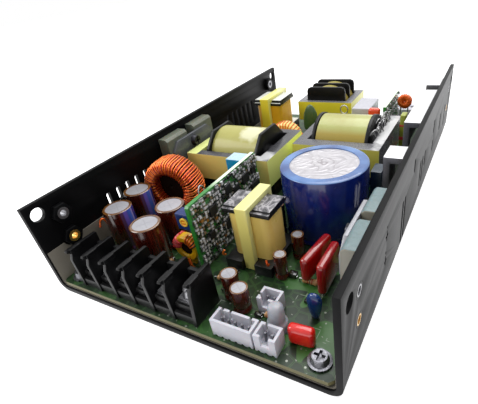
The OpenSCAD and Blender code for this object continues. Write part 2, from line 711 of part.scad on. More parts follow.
main_x0 = -12.6;
main_x1 = 13.6;
module main_core_part() color([0.75, 0.68, 0.28]) place(main_at[0], main_at[1], zc)
  flat_core(main_core, core_h, end_t, side_t, post_r);
module main_bobbin() color([0.08, 0.08, 0.09]) place(main_at[0], main_at[1], zc)
  flat_bobbin([main_x0 - 1.7, main_x1 + 0.1], main_x1 - main_x0 + 3.4, main_x0 - 1.7, post_r, coil_r + 0.6,
    [-main_core[0]/2 + 1, main_core[0]/2 - 8], core_top - core_h - clear, 28);
module main_winding() color([0.8, 0.76, 0.42]) place(main_at[0], main_at[1], zc)
  flat_winding(main_x0, main_x1, coil_r, post_r + 1.2);

boost_x0 = -14;
boost_x1 = 12.4;
module boost_core_part() color([0.78, 0.72, 0.28]) place(boost_at[0], boost_at[1], zc)
  flat_core(boost_core, core_h, end_t - 0.6, 7.2, post_r);
module boost_bobbin() color([0.1, 0.1, 0.11]) place(boost_at[0], boost_at[1], zc)
  flat_bobbin([boost_x0 - 1.7, boost_x1 + 0.1], boost_x1 - boost_x0 + 3.4, boost_x0 - 1.7, post_r,
    coil_r + 0.5,
    [-boost_core[0]/2 + 1, boost_core[0]/2 - 8], core_top - core_h - clear, 30, true);
module boost_winding() color([0.8, 0.76, 0.38]) place(boost_at[0], boost_at[1], zc)
  flat_winding(boost_x0, boost_x1, coil_r, post_r + 1.2);

// Line choke: flat core with the post along Y, three cheeks and two windings
choke_h = 12;
choke_top = 25;
choke_zc = choke_top - choke_h/2;
choke_r = 12.2;
choke_ends = 3.6;
choke_window = choke_core[1] - 2*choke_ends;
cheek_top = 33.1;
// Three cheeks of 1.6 share the window, with a coil in each of the two bays
cheeks = [for (i = [0:2]) (i - 1)*(choke_window - 2*clear - 1.6)/2 - 0.8];
bay = cheeks[1] - cheeks[0] - 1.6;
module choke_core_part() color([0.75, 0.68, 0.15]) place(choke_at[0], choke_at[1], choke_zc)
  rotate([0, 0, 90]) flat_core([choke_core[1], choke_core[0]], choke_h, choke_ends, 4.4, 4.6);
module choke_bobbin() color([0.07, 0.07, 0.08]) place(choke_at[0], choke_at[1], choke_zc) {
  difference() {
    union() {
      bar_y(5.8, cheeks[2] - cheeks[0] + 1.6);
      for (y = cheeks) translate([0, y + 1.6, 0]) rotate([90, 0, 0]) linear_extrude(1.6)
        polygon([[-12.6, top + 2 - choke_zc], [12.6, top + 2 - choke_zc], [12.6, cheek_top - 2.4 - choke_zc],
          [11.9, cheek_top - 0.7 - choke_zc], [10.2, cheek_top - choke_zc], [-10.2, cheek_top - choke_zc],
          [-11.9, cheek_top - 0.7 - choke_zc], [-12.6, cheek_top - 2.4 - choke_zc]]);
    }
    bar_y(4.6 + clear/2, 40);
  }
  foot_l = choke_core[1]/2 - 1 + cheeks[0] + 1.6;
  for (y = [-choke_core[1]/2 + 1, choke_core[1]/2 - 1 - foot_l])
    translate([-12, y, top - choke_zc]) cube([24, foot_l, choke_top - choke_h - clear - top]);
}
module choke_winding() color([0.75, 0.68, 0.2]) place(choke_at[0], choke_at[1], choke_zc)
  for (s = [-1, 1]) translate([0, s*(bay + 1.6)/2, 0]) difference() {
    bar_y(choke_r, bay - 0.2, 96);
    bar_y(5.8, bay);
  }

// ---------------------------------------------------------------- power devices on the walls

// Silicone cap over a device pressed to a wall, hollowed for the device
module device_cap(side, e, z0, z1, l) {
  difference() {
    slab(side > 0 ? wall_in - cap_t : -wall_in, e, z0, [cap_t, l, z1 - z0]);
    slab(side > 0 ? wall_in - cap_t + 1.1 : -wall_in + eps, e + 1, z0 - 1, [cap_t - 1.1, l - 2, z1 - z0]);
    place(side*(wall_in - cap_t), e + l/2, z1) rotate([0, 45, 0]) cube([1.6, l + 1, 1.6], center = true);
  }
}

// Plate across two caps with cut corners and a hole for its screw
module clamp_plate(side, e0, e1, z0, z1, t, hole) {
  x = side > 0 ? wall_in - cap_t - t : -wall_in + cap_t;
  difference() {
    slab(x, e0, z0, [t, e1 - e0, z1 - z0]);
    for (e = [e0, e1], z = [z0, z1]) place(x + t/2, e, z) rotate([45, 0, 0])
      cube([t + 1, 6, 6], center = true);
    place(x + t/2, hole[0], hole[1]) bar_x(1.8, t + 1, 24);
  }
}

left_screw = [91, 28.8];
right_screw = [37.4, 28.8];
module left_device_caps() color([0.36, 0.38, 0.34]) for (e = left_cap_at)
  device_cap(-1, e, 10, 35.8, 15.6);
module left_clamp() color([0.3, 0.31, 0.33])
  clamp_plate(-1, 74.4, 107.6, 19, 33, 1.4, left_screw);
module right_device_caps() color([0.55, 0.62, 0.6]) for (e = right_cap_at)
  device_cap(1, e, 10, 35.6, 15);
module right_clamp() color([0.85, 0.85, 0.86])
  clamp_plate(1, 23.6, 52, 19, 34.4, 1.4, right_screw);

// Clamp screw through the plate and between the caps into a boss on the wall
module clamp_screw(side, p, t) {
  x = side*(wall_in - cap_t - t);
  place(x, p[0], p[1]) rotate([0, -side*90, 0]) pan_screw(3, 5.8, 2.2, 0, 0, cap_t + t - 0.1);
}
module clamp_screws() color([0.25, 0.25, 0.27]) {
  clamp_screw(-1, left_screw, 1.4);
  clamp_screw(1, right_screw, 1.4);
}

// Inverted U brackets along the right wall: [from end, length, bottom of the outer leg, of the inner leg]
brackets = [[76, 11, film_low + clear, top], [112, 48, film_low + clear, top],
            [from_far(31.8), 13.4, film_low + clear, top]];
bracket_w = 8;
bracket_x = wall_in - bracket_w;
bracket_t = 2.6;
bracket_top = 36;
module wall_brackets() color([0.8, 0.81, 0.83]) for (b = brackets) difference() {
  slab(bracket_x, b[0], top, [wall_in - bracket_x, b[1], bracket_top - top]);
  slab(bracket_x + bracket_t, b[0] - 1, top - 1,
    [wall_in - bracket_x - 2*bracket_t + 1, b[1] + 2, bracket_top - bracket_t - top + 1]);
  slab(bracket_x + bracket_t, b[0] - 1, top - 1, [wall_in - bracket_x, b[1] + 2, b[2] - top + 1]);
  slab(bracket_x - 1, b[0] - 1, top - 1, [bracket_t + 2, b[1] + 2, b[3] - top + 1]);
  if (b[1] > 20) slab(bracket_x - 1, b[0] + 5, 12, [bracket_t + 2, b[1] - 10, 14]);
}

module bridge_rectifier() color([0.08, 0.08, 0.09]) {
  place(from_right(14.2), 84.5) {
    translate([0, 0, 8]) cube([4.4, 8, 20.3]);
    for (i = [0:3]) translate([2.2, 1 + i*2, top]) cylinder(r = 0.45, h = 4, $fn = 16);
  }
}

// ---------------------------------------------------------------- rear end

module rear_board() color([0.12, 0.42, 0.18])
  slab(from_right(25.8), from_far(52.2), top, [board_t, 31, 25.2]);

module relay() color([0.78, 0.78, 0.8]) slab(from_right(45.6), from_far(48), top, [13, 19.6, 22.6]);

// Two pole input terminal beside the fuse holder at the line end
module input_terminal() color([0.9, 0.9, 0.92]) place(from_right(31), from_far(14), top) difference() {
  pitch = 5.1;
  bay_w = pitch - 0.8;
  cube([3*pitch + 1.2, 10.4, 11]);
  for (i = [0:2]) translate([1 + i*pitch, 4, 3]) cube([bay_w, 8, 7]);
  for (i = [0:2]) translate([1 + bay_w/2 + i*pitch, 6, 5]) cylinder(d = 3.2, h = 8, $fn = 24);
}

// ---------------------------------------------------------------- nodes

chassis();
clinch_nuts();
insulator_sheet();
board_spacers();
main_board();
board_screws();
terminal_block();
terminal_screws();
terminal_clamps();
wide_header();
front_header();
rear_header();
header_pins();
status_led();
output_capacitor(1);  // output_capacitor_1
output_capacitor(2);  // output_capacitor_2
output_capacitor(3);  // output_capacitor_3
output_capacitor(4);  // output_capacitor_4
bulk_capacitor();
small_capacitors();
output_toroid_core();
output_toroid_winding();
trimmer_body();
trimmer_rotor();
small_toroid_core();
small_toroid_winding();
control_board();
control_chips();
control_pins();
aux_core();
aux_bobbin();
aux_winding();
main_core_part();  // main_core
main_bobbin();
main_winding();
boost_core_part();  // boost_core
boost_bobbin();
boost_winding();
choke_core_part();  // choke_core
choke_bobbin();
choke_winding();
rear_core_part();  // rear_core
rear_bobbin();
rear_winding();
film_capacitors();
small_film_capacitor();
disc_capacitor();
varistor();
box_capacitor();
left_device_caps();
left_clamp();
right_device_caps();
right_clamp();
clamp_screws();
wall_brackets();
rear_board();
rear_toroids();
bridge_rectifier();
relay();
input_terminal();
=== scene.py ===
"""Looks for the open frame power supply, in metres, in the CAD model's frame."""
import math
import random

import bmesh
import bpy
from mathutils import Matrix, Vector


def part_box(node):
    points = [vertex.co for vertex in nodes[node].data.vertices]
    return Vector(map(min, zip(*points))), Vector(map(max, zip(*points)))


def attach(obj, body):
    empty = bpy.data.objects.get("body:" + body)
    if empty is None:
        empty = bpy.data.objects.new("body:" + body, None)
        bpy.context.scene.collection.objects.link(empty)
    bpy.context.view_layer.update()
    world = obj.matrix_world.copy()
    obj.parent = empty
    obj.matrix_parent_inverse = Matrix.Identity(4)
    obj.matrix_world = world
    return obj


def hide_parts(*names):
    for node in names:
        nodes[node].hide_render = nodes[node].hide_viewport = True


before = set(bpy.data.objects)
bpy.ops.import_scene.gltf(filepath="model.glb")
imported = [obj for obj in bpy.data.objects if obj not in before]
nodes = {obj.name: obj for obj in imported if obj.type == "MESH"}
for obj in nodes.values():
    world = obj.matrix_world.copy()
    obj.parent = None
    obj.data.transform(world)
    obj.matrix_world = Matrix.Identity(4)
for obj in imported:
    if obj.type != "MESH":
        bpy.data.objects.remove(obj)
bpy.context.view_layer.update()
MM = 0.001
FRAME_BODY = "frame"
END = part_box("chassis")[0].y            # output end of the chassis
BOARD_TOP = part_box("main_board")[1].z

scene = bpy.context.scene
scene.view_settings.view_transform = "Standard"


# ------------------------------------------------------------------ node helpers

def wire(tree, target, value):
    """Links a socket, or sets a plain value."""
    if isinstance(value, bpy.types.NodeSocket):
        tree.links.new(value, target)
    elif value is not None:
        target.default_value = value


def add(tree, kind, out=0, settings=None, **inputs):
    """Adds a node; inputs are named by socket, or by number as i0, i1."""
    node = tree.nodes.new(kind)
    for key, value in (settings or {}).items():
        setattr(node, key, value)
    for key, value in inputs.items():
        if key[0] == "i" and key[1:].isdigit():
            wire(tree, node.inputs[int(key[1:])], value)
        else:
            wire(tree, node.inputs[key.replace("_", " ")], value)
    return node.outputs[out]


def sums(tree, operation, a, b=None, c=None):
    return add(tree, "ShaderNodeMath", settings={"operation": operation}, i0=a, i1=b, i2=c)


def group_tree(name, kind, takes, gives):
    """A node group with named inputs {name: (socket type, value)} and outputs {name: socket type}."""
    tree = bpy.data.node_groups.new(name, kind)
    for label, (socket, value) in takes.items():
        made = tree.interface.new_socket(label, in_out="INPUT", socket_type=socket)
        if value is not None:
            made.default_value = value
    for label, socket in gives.items():
        tree.interface.new_socket(label, in_out="OUTPUT", socket_type=socket)
    start = tree.nodes.new("NodeGroupInput")
    end = tree.nodes.new("NodeGroupOutput")
    return tree, {s.name: s for s in start.outputs if s.name}, end


# ------------------------------------------------------------------ shared surface effects

def make_grain():
    """Fine mottling: a mask, a height and a roughness shift at a given size."""
    tree, take, end = group_tree("fine_grain", "ShaderNodeTree",
        {"Vector": ("NodeSocketVector", None), "Size": ("NodeSocketFloat", 1.0),
         "Patchiness": ("NodeSocketFloat", 0.5)},
        {"Mask": "NodeSocketFloat", "Height": "NodeSocketFloat"})
    scale = sums(tree, "DIVIDE", 1000.0, take["Size"])
    fine = add(tree, "ShaderNodeTexNoise", Vector=take["Vector"], Scale=scale, Detail=3.0, Roughness=0.6)
    broad_scale = sums(tree, "DIVIDE", scale, 9.0)
    broad = add(tree, "ShaderNodeTexNoise", Vector=take["Vector"], Scale=broad_scale, Detail=2.0)
    mixed = add(tree, "ShaderNodeMix", i0=take["Patchiness"], i2=fine, i3=broad)
    mask = add(tree, "ShaderNodeMapRange", Value=mixed, From_Min=0.3, From_Max=0.7)
    tree.links.new(mask, end.inputs["Mask"])
    tree.links.new(fine, end.inputs["Height"])
    return tree


def make_facing():
    """Masks of faces that look up or down, across, and along the length, in the part's own axes."""
    tree, take, end = group_tree("face_direction", "ShaderNodeTree", {"Normal": ("NodeSocketVector", None)},
        {"Up": "NodeSocketFloat", "Across": "NodeSocketFloat", "Along": "NodeSocketFloat"})
    split = tree.nodes.new("ShaderNodeSeparateXYZ")
    tree.links.new(take["Normal"], split.inputs[0])
    for axis, label in (("Z", "Up"), ("X", "Across"), ("Y", "Along")):
        size = sums(tree, "ABSOLUTE", split.outputs[axis])
        edge = add(tree, "ShaderNodeMapRange", Value=size, From_Min=0.6, From_Max=0.75)
        tree.links.new(edge, end.inputs[label])
    return tree


GRAIN = make_grain()
FACING = make_facing()


def in_group(tree, group, **inputs):
    node = tree.nodes.new("ShaderNodeGroup")
    node.node_tree = group
    for key, value in inputs.items():
        wire(tree, node.inputs[key.replace("_", " ")], value)
    return node.outputs


def colour(r, g, b):
    """A display colour, 0 to 1, as linear RGBA."""
    return tuple(c / 12.92 if c <= 0.04045 else ((c + 0.055) / 1.055) ** 2.4 for c in (r, g, b)) + (1.0,)


class Finish:
    """A material with a Principled shader, object coordinates and the shared grain."""

    def __init__(self, name, base, second=None, rough=0.5, rough_spread=0.1, metal=0.0, size=0.6,
                 patch=0.4, bump=0.1, bump_mm=0.05, specular=0.5, coat=0.0, coat_rough=0.1, **extra):
        self.material = bpy.data.materials.new(name)
        self.material.use_nodes = True
        self.tree = tree = self.material.node_tree
        self.shader = tree.nodes["Principled BSDF"]
        self.coords = add(tree, "ShaderNodeTexCoord", out=3)
        self.uv = self.coords.node.outputs["UV"]
        self.grain = in_group(tree, GRAIN, Vector=self.coords, Size=size, Patchiness=patch)
        base, second = colour(*base), colour(*(second or base))
        self.base = self.mix(self.grain["Mask"], base, second)
        self.set("Base Color", self.base)
        self.rough = add(tree, "ShaderNodeMapRange", Value=self.grain["Mask"],
                         To_Min=max(rough - rough_spread, 0.02), To_Max=min(rough + rough_spread, 1.0))
        self.set("Roughness", self.rough)
        self.set("Metallic", metal)
        self.set("Specular IOR Level", specular)
        self.set("Coat Weight", coat)
        self.set("Coat Roughness", coat_rough)
        for key, value in extra.items():
            self.set(key.replace("_", " "), value)
        self.height = self.grain["Height"]
        self.bump = tree.nodes.new("ShaderNodeBump")
        self.bump.inputs["Strength"].default_value = bump
        self.bump.inputs["Distance"].default_value = bump_mm * MM
        tree.links.new(self.height, self.bump.inputs["Height"])
        tree.links.new(self.bump.outputs[0], self.shader.inputs["Normal"])

    def set(self, socket, value):
        wire(self.tree, self.shader.inputs[socket], value)

    def mix(self, mask, a, b):
        """Colour a where mask is 0, b where it is 1."""
        return add(self.tree, "ShaderNodeMix", out=2, settings={"data_type": "RGBA"}, i0=mask, i6=a, i7=b)

    def blend(self, mask, a, b):
        return add(self.tree, "ShaderNodeMix", i0=mask, i2=a, i3=b)

    def times(self, a, b):
        return sums(self.tree, "MULTIPLY", a, b)

    def noise(self, scale, detail=2.0):
        return add(self.tree, "ShaderNodeTexNoise", Vector=self.coords, Scale=scale, Detail=detail)

    def paint(self, mask, tint, share=None, rough=None, metal=None):
        """Lays a colour, and if given a roughness or metal, over the base by that share of the mask."""
        tint = tint if isinstance(tint, bpy.types.NodeSocket) else colour(*tint)
        mask = mask if share is None else self.times(mask, share)
        self.base = self.mix(mask, self.base, tint)
        self.set("Base Color", self.base)
        if rough is not None:
            self.rough = self.blend(mask, self.rough, rough)
            self.set("Roughness", self.rough)
        if metal is not None:
            before = self.shader.inputs["Metallic"]
            old = before.links[0].from_socket if before.links else before.default_value
            self.set("Metallic", self.blend(mask, old, metal))

    def raise_by(self, value):
        self.height = sums(self.tree, "ADD", self.height, value)
        self.tree.links.new(self.height, self.bump.inputs["Height"])

    def facing(self):
        normal = add(self.tree, "ShaderNodeNewGeometry", out=1)
        return in_group(self.tree, FACING, Normal=normal)

    def axis(self, letter, source=None):
        split = self.tree.nodes.new("ShaderNodeSeparateXYZ")
        self.tree.links.new(source or self.coords, split.inputs[0])
        return split.outputs[letter]

    def between(self, value, low, high, soft=0.0):
        """1 where value lies between low and high."""
        if soft:
            a = add(self.tree, "ShaderNodeMapRange", Value=value, From_Min=low - soft, From_Max=low + soft)
            b = add(self.tree, "ShaderNodeMapRange", Value=value, From_Min=high + soft, From_Max=high - soft)
        else:
            a = sums(self.tree, "GREATER_THAN", value, low)
            b = sums(self.tree, "LESS_THAN", value, high)
        return sums(self.tree, "MULTIPLY", a, b)


# ------------------------------------------------------------------ finishes

black_sheet = Finish("black_powder_coat", (0.05, 0.05, 0.055), (0.035, 0.035, 0.04), rough=0.42,
                     rough_spread=0.02,
                     size=0.45, bump=0.02, bump_mm=0.02, specular=0.08)
zinc = Finish("zinc_plate", (0.66, 0.66, 0.67), (0.50, 0.50, 0.52), rough=0.34, metal=0.9, size=0.7, bump=0.2)
screw_steel = Finish("screw_steel", (0.50, 0.50, 0.52), (0.30, 0.30, 0.33), rough=0.3, metal=0.8, size=0.6,
                     bump=0.25)
gold_zinc = Finish("yellow_zinc_plate", (0.92, 0.78, 0.45), (0.80, 0.60, 0.28), rough=0.3, metal=0.9,
                   size=0.5)
film = Finish("insulating_film", (0.50, 0.48, 0.44), (0.42, 0.40, 0.36), rough=0.5, size=3.0, patch=0.8,
              bump=0.05)
card_laminate = Finish("card_laminate", (0.20, 0.56, 0.22), (0.13, 0.42, 0.14), rough=0.35, size=1.2,
                       coat=0.2)
black_plastic = Finish("black_moulding", (0.035, 0.035, 0.04), (0.02, 0.02, 0.025), rough=0.36, size=0.5,
                       bump=0.2, bump_mm=0.03, specular=0.25)
# painted highlights: the rounded edges take a patchy grey over the black
edge_glint_paint = Finish("black_edge_painted_glints", (0.04, 0.04, 0.045), (0.20, 0.20, 0.21), rough=0.3, size=1.4,
                   patch=0.9,
                   specular=0.25)
chip_plastic = Finish("chip_moulding", (0.10, 0.10, 0.105), (0.07, 0.07, 0.075), rough=0.5, size=0.3,
                      bump=0.2)
nylon = Finish("white_nylon", (0.75, 0.75, 0.78), (0.70, 0.70, 0.74), rough=0.42, size=1.5, bump=0.05,
               Subsurface_Weight=0.1, Subsurface_Scale=0.002)
tinned = Finish("tinned_wire", (0.72, 0.72, 0.72), (0.58, 0.58, 0.58), rough=0.28, metal=0.9, size=0.4)
lens = Finish("milky_lens", (0.68, 0.69, 0.72), (0.60, 0.61, 0.64), rough=0.3, size=1.5, bump=0.03,
              Subsurface_Weight=0.3, Subsurface_Scale=0.003, Alpha=0.94)
copper = Finish("enamelled_copper", (1.0, 0.58, 0.20), (0.90, 0.30, 0.08), rough=0.22, metal=0.6, size=1.4,
                patch=0.6, bump=0.05, coat=0.35)
dark_core = Finish("core_paint", (0.12, 0.06, 0.03), (0.07, 0.03, 0.02), rough=0.6, size=1.0, specular=0.1)
yellow_core = Finish("yellow_core_paint", (0.92, 0.74, 0.08), (0.80, 0.58, 0.06), rough=0.35, size=1.0)
red_wire = Finish("red_winding", (0.90, 0.30, 0.28), (0.76, 0.18, 0.20), rough=0.3, size=1.0, coat=0.3)
trimmer_blue = Finish("blue_moulding", (0.03, 0.18, 0.42), (0.02, 0.12, 0.34), rough=0.4, size=1.2, bump=0.1)
trimmer_yellow = Finish("yellow_moulding", (0.98, 0.84, 0.30), (0.94, 0.74, 0.20), rough=0.35, size=0.6)


def film_tape(name, lit, shade, second=None, rough=0.3):
    """Polyester film tape; the faces along the length are painted deeper, to imitate shade."""
    made = Finish(name, lit, second, rough=rough, rough_spread=0.08, size=2.5, patch=0.7, bump=0.18,
                  bump_mm=0.12, coat=0.3, coat_rough=0.15)
    made.paint(made.facing()["Along"], shade, share=0.8)
    return made


coil_tape = film_tape("coil_tape", (0.66, 0.65, 0.34), (0.65, 0.62, 0.30), (0.62, 0.60, 0.30), rough=0.5)
boost_tape = film_tape("boost_coil_tape", (0.64, 0.58, 0.22), (0.64, 0.55, 0.15), (0.57, 0.51, 0.17),
                       rough=0.5)
# this and the other pale upward faces below imitate glare in paint
boost_tape.paint(boost_tape.facing()["Up"], (0.68, 0.71, 0.44), rough=0.3,
                 share=boost_tape.blend(boost_tape.grain["Mask"], 0.9, 0.3))
pale_tape = film_tape("pale_tape", (0.90, 0.89, 0.60), (0.92, 0.86, 0.46), (0.86, 0.85, 0.54))
amber_tape = film_tape("amber_tape", (0.98, 0.87, 0.50), (0.97, 0.85, 0.47), (0.92, 0.79, 0.43))
bright_tape = film_tape("bright_tape", (0.95, 0.94, 0.60), (0.94, 0.84, 0.08), (0.90, 0.86, 0.34))
orange_tape = film_tape("orange_tape", (0.98, 0.80, 0.24), (1.0, 0.76, 0.16), (0.92, 0.66, 0.12))
red_coat = Finish("red_dip_coat", (0.60, 0.05, 0.04), (0.50, 0.04, 0.03), rough=0.16, size=1.5, bump=0.06,
                  coat=0.6,
                  coat_rough=0.08)
orange_coat = Finish("orange_dip_coat", (0.90, 0.30, 0.10), (0.80, 0.20, 0.06), rough=0.25, size=1.5,
                     coat=0.4)
blue_coat = Finish("blue_dip_coat", (0.04, 0.22, 0.46), (0.02, 0.14, 0.36), rough=0.22, size=1.5, coat=0.4)
green_coat = Finish("green_dip_coat", (0.24, 0.35, 0.16), (0.18, 0.28, 0.12), rough=0.4, size=1.5, coat=0.2)
cyan_case = Finish("cyan_case", (0.04, 0.64, 0.84), (0.03, 0.54, 0.76), rough=0.24, size=1.5, coat=0.5)
# painted glare: the case's top faces are painted pale
cyan_case.paint(cyan_case.facing()["Up"], (0.80, 0.88, 0.90), share=0.7)
silicone = Finish("silicone_cap", (0.42, 0.44, 0.38), (0.36, 0.37, 0.32), rough=0.45, size=1.2, bump=0.12,
                  Subsurface_Weight=0.1, Subsurface_Scale=0.002)
pale_silicone = Finish("pale_silicone_cap", (0.44, 0.52, 0.53), (0.37, 0.45, 0.46), rough=0.4, size=1.2,
                       bump=0.12,
                       Subsurface_Weight=0.1, Subsurface_Scale=0.002)
# painted light: the faces along the length are painted a paler, warmer grey
pale_silicone.paint(pale_silicone.facing()["Along"], (0.56, 0.55, 0.50))
dark_plate = Finish("dark_steel_plate", (0.44, 0.45, 0.47), (0.36, 0.37, 0.39), rough=0.38, metal=0.4,
                    size=0.8)
bright_plate = Finish("bare_aluminium", (0.62, 0.62, 0.64), (0.52, 0.52, 0.54), rough=0.42, metal=0.5,
                      size=0.6,
                      bump=0.15)
dark_steel = Finish("black_oxide_steel", (0.26, 0.26, 0.28), (0.18, 0.18, 0.20), rough=0.32, metal=0.8,
                    size=0.4)
orange_wire = Finish("orange_winding", (0.94, 0.48, 0.13), (0.78, 0.28, 0.06), rough=0.3, metal=0.3, size=1.0)
relay_case = Finish("grey_case", (0.74, 0.74, 0.77), (0.68, 0.68, 0.71), rough=0.35, size=1.5)
bracket_plate = Finish("bracket_plate", (0.46, 0.46, 0.48), (0.38, 0.38, 0.40), rough=0.40, metal=0.4,
                       size=0.8)
# painted glare: the brackets' top faces are painted near white
bracket_plate.paint(bracket_plate.facing()["Up"], (0.90, 0.90, 0.91), rough=0.3)
bobbin_glare_top = Finish("bobbin_with_painted_glare_top", (0.06, 0.06, 0.065), (0.04, 0.04, 0.045), rough=0.4, size=2.2,
                      bump=0.6, bump_mm=0.3)
# painted glare: the bobbin's top faces are painted near white over the black
bobbin_glare_top.paint(bobbin_glare_top.facing()["Up"], (0.86, 0.87, 0.84), rough=0.25)
slate_case = Finish("slate_moulding", (0.12, 0.22, 0.28), (0.07, 0.14, 0.22), rough=0.3, size=1.2, coat=0.3)
lime_case = Finish("lime_sleeve", (0.66, 0.68, 0.24), (0.54, 0.58, 0.18), rough=0.3, size=1.5, coat=0.3)
can_metal = Finish("can_aluminium", (0.80, 0.80, 0.82), (0.68, 0.68, 0.71), rough=0.36, metal=0.3, size=0.9,
                   bump=0.2)


# ------------------------------------------------------------------ printed board

def board_finish():
    """Solder resist over copper: pours, tracks, a few printed lines and a bare edge."""
    made = Finish("board_laminate", (0.08, 0.18, 0.08), (0.05, 0.13, 0.05), rough=0.42, size=2.2, patch=0.5,
                  bump=0.10, bump_mm=0.06, coat=0.12, coat_rough=0.2, specular=0.35)
    tree = made.tree

    def cells(scale, feature, metric="MANHATTAN", shift=(0, 0, 0)):
        spot = add(tree, "ShaderNodeMapping", Vector=made.coords, Location=shift, Scale=(scale, scale, 0.0))
        settings = {"feature": feature, "voronoi_dimensions": "2D"}
        if feature != "DISTANCE_TO_EDGE":
            settings["distance"] = metric
        return add(tree, "ShaderNodeTexVoronoi", settings=settings, Vector=spot, Scale=1.0, Randomness=1.0)

    patches = made.noise(95.0, 1.0)
    right = made.between(made.axis("X"), 30 * MM, 1.0, 0.006)        # painted light: the copper pours are painted brighter there
    made.paint(made.between(patches, 0.52, 0.9, 0.008), (0.26, 0.46, 0.20),
               share=sums(tree, "MULTIPLY_ADD", right, 0.45, 0.25))
    made.paint(made.between(patches, 0.505, 0.52, 0.004), (0.05, 0.14, 0.07), share=0.7)
    made.paint(made.between(cells(240.0, "DISTANCE_TO_EDGE"), 0.02, 0.09, 0.01), (0.26, 0.42, 0.20),
               share=0.3)
    pads = made.between(cells(320.0, "F1", "EUCLIDEAN"), -1.0, 0.12, 0.02)
    pads = made.times(pads, made.between(made.noise(330.0), 0.60, 1.0, 0.02))
    made.paint(pads, (0.60, 0.62, 0.58), share=0.8, rough=0.3, metal=0.5)
    frames = made.between(cells(120.0, "F1", "CHEBYCHEV", shift=(0.3, 0.6, 0)), 0.30, 0.325, 0.004)
    inked = made.times(frames, made.between(made.noise(120.0), 0.58, 1.0, 0.01))
    made.paint(inked, (0.66, 0.72, 0.64), share=0.6, rough=0.5)
    side = sums(tree, "SUBTRACT", 1.0, made.facing()["Up"])
    made.paint(side, (0.42, 0.40, 0.26), rough=0.6)
    return made


laminate = board_finish()


def paint_glare_patch(made, middle, reach, tint, strength, top_only=False):
    """Paints a pale, smoother patch that imitates glare, in the material; middle and reach in mm."""
    tree = made.tree
    spot = add(tree, "ShaderNodeMapping", Vector=made.coords,
               Location=[-m / r for m, r in zip(middle, reach)],
               Scale=[1 / (r * MM) for r in reach])
    away = add(tree, "ShaderNodeVectorMath", out=1, settings={"operation": "LENGTH"}, i0=spot)
    away = sums(tree, "MULTIPLY_ADD", sums(tree, "SUBTRACT", made.noise(260.0), 0.5), 0.8, away)
    mask = add(tree, "ShaderNodeMapRange", Value=away, From_Min=1.0, From_Max=0.55)
    if top_only:
        mask = made.times(mask, made.facing()["Up"])
    made.paint(mask, tint, share=strength, rough=0.18)


# painted glare on the main winding's tape
paint_glare_patch(coil_tape, (-18, -3.5, 33), (8, 8, 6), (0.92, 0.92, 0.80), 0.65)
PALE_FROM = END + 44 * MM
mottle = card_laminate.between(card_laminate.noise(170.0), 0.57, 1.0, 0.03)
card_laminate.paint(card_laminate.facing()["Across"], (0.09, 0.18, 0.09), share=mottle)
# the far end of the card's top edge is painted near white, to imitate glare
card_laminate.paint(card_laminate.facing()["Up"], (0.88, 0.93, 0.84),
                    share=card_laminate.between(card_laminate.axis("Y"), PALE_FROM, 1.0, 0.004))
dark_pin = Finish("header_pin", (0.50, 0.50, 0.52), (0.36, 0.36, 0.38), rough=0.35, metal=0.8, size=0.4)


def core_finish(name, node, sides, ferrite=(0.26, 0.26, 0.28), top_tape=0.0):
    """Ferrite core with tape round its outside; the tape also covers the top near the -X end. The taped sides
    are painted one tint across and another along, as painted shade, and the taped top a paler tint, as
    painted light.
    """
    made = Finish(name, ferrite, tuple(c * 0.72 for c in ferrite), rough=0.28, size=0.7, bump=0.25,
                  bump_mm=0.05, specular=0.6)
    lo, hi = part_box(node)
    wrap = 0.8 * MM                                    # how far in from its sides the core counts as bare
    inside = made.times(made.between(made.axis("X"), lo.x + wrap, hi.x - wrap),
                  made.between(made.axis("Y"), lo.y + wrap, hi.y - wrap))
    facing = made.facing()
    bare = sums(made.tree, "MAXIMUM", inside, facing["Up"])
    if top_tape:
        over = sums(made.tree, "LESS_THAN", made.axis("X"), lo.x + top_tape * MM)
        bare = made.times(bare, sums(made.tree, "SUBTRACT", 1.0, over))
    # painted shade: the tape's tint depends on which way its face looks
    across, along = sides
    tint = made.mix(facing["Along"], colour(*across), colour(*along))
    # painted light: the taped top is painted paler
    if top_tape:
        tint = made.mix(facing["Up"], tint, colour(0.86, 0.89, 0.56))
    made.paint(sums(made.tree, "SUBTRACT", 1.0, bare), tint, rough=0.3)
    return made


# painted light: the bare ferrite is painted a different grey on each core, lighter on the boost and choke
# cores
main_core_finish = core_finish("main_core_wrap", "main_core", ((0.93, 0.96, 0.56), (0.96, 0.85, 0.48)),
                               top_tape=6.2)
boost_core_finish = core_finish("boost_core_wrap", "boost_core", ((0.92, 0.93, 0.50), (0.86, 0.82, 0.36)),
                                ferrite=(0.40, 0.40, 0.42))
choke_core_finish = core_finish("choke_core_wrap", "choke_core", ((0.90, 0.88, 0.34), (0.88, 0.82, 0.20)),
                                ferrite=(0.50, 0.50, 0.52))

# painted glare on the bare tops of the main and boost cores
paint_glare_patch(main_core_finish, (-6, -15, 26.5), (7, 6, 3), (0.84, 0.84, 0.84), 0.7, True)
paint_glare_patch(boost_core_finish, (42, 26, 26.5), (5, 28, 3), (0.88, 0.88, 0.88), 0.8, True)

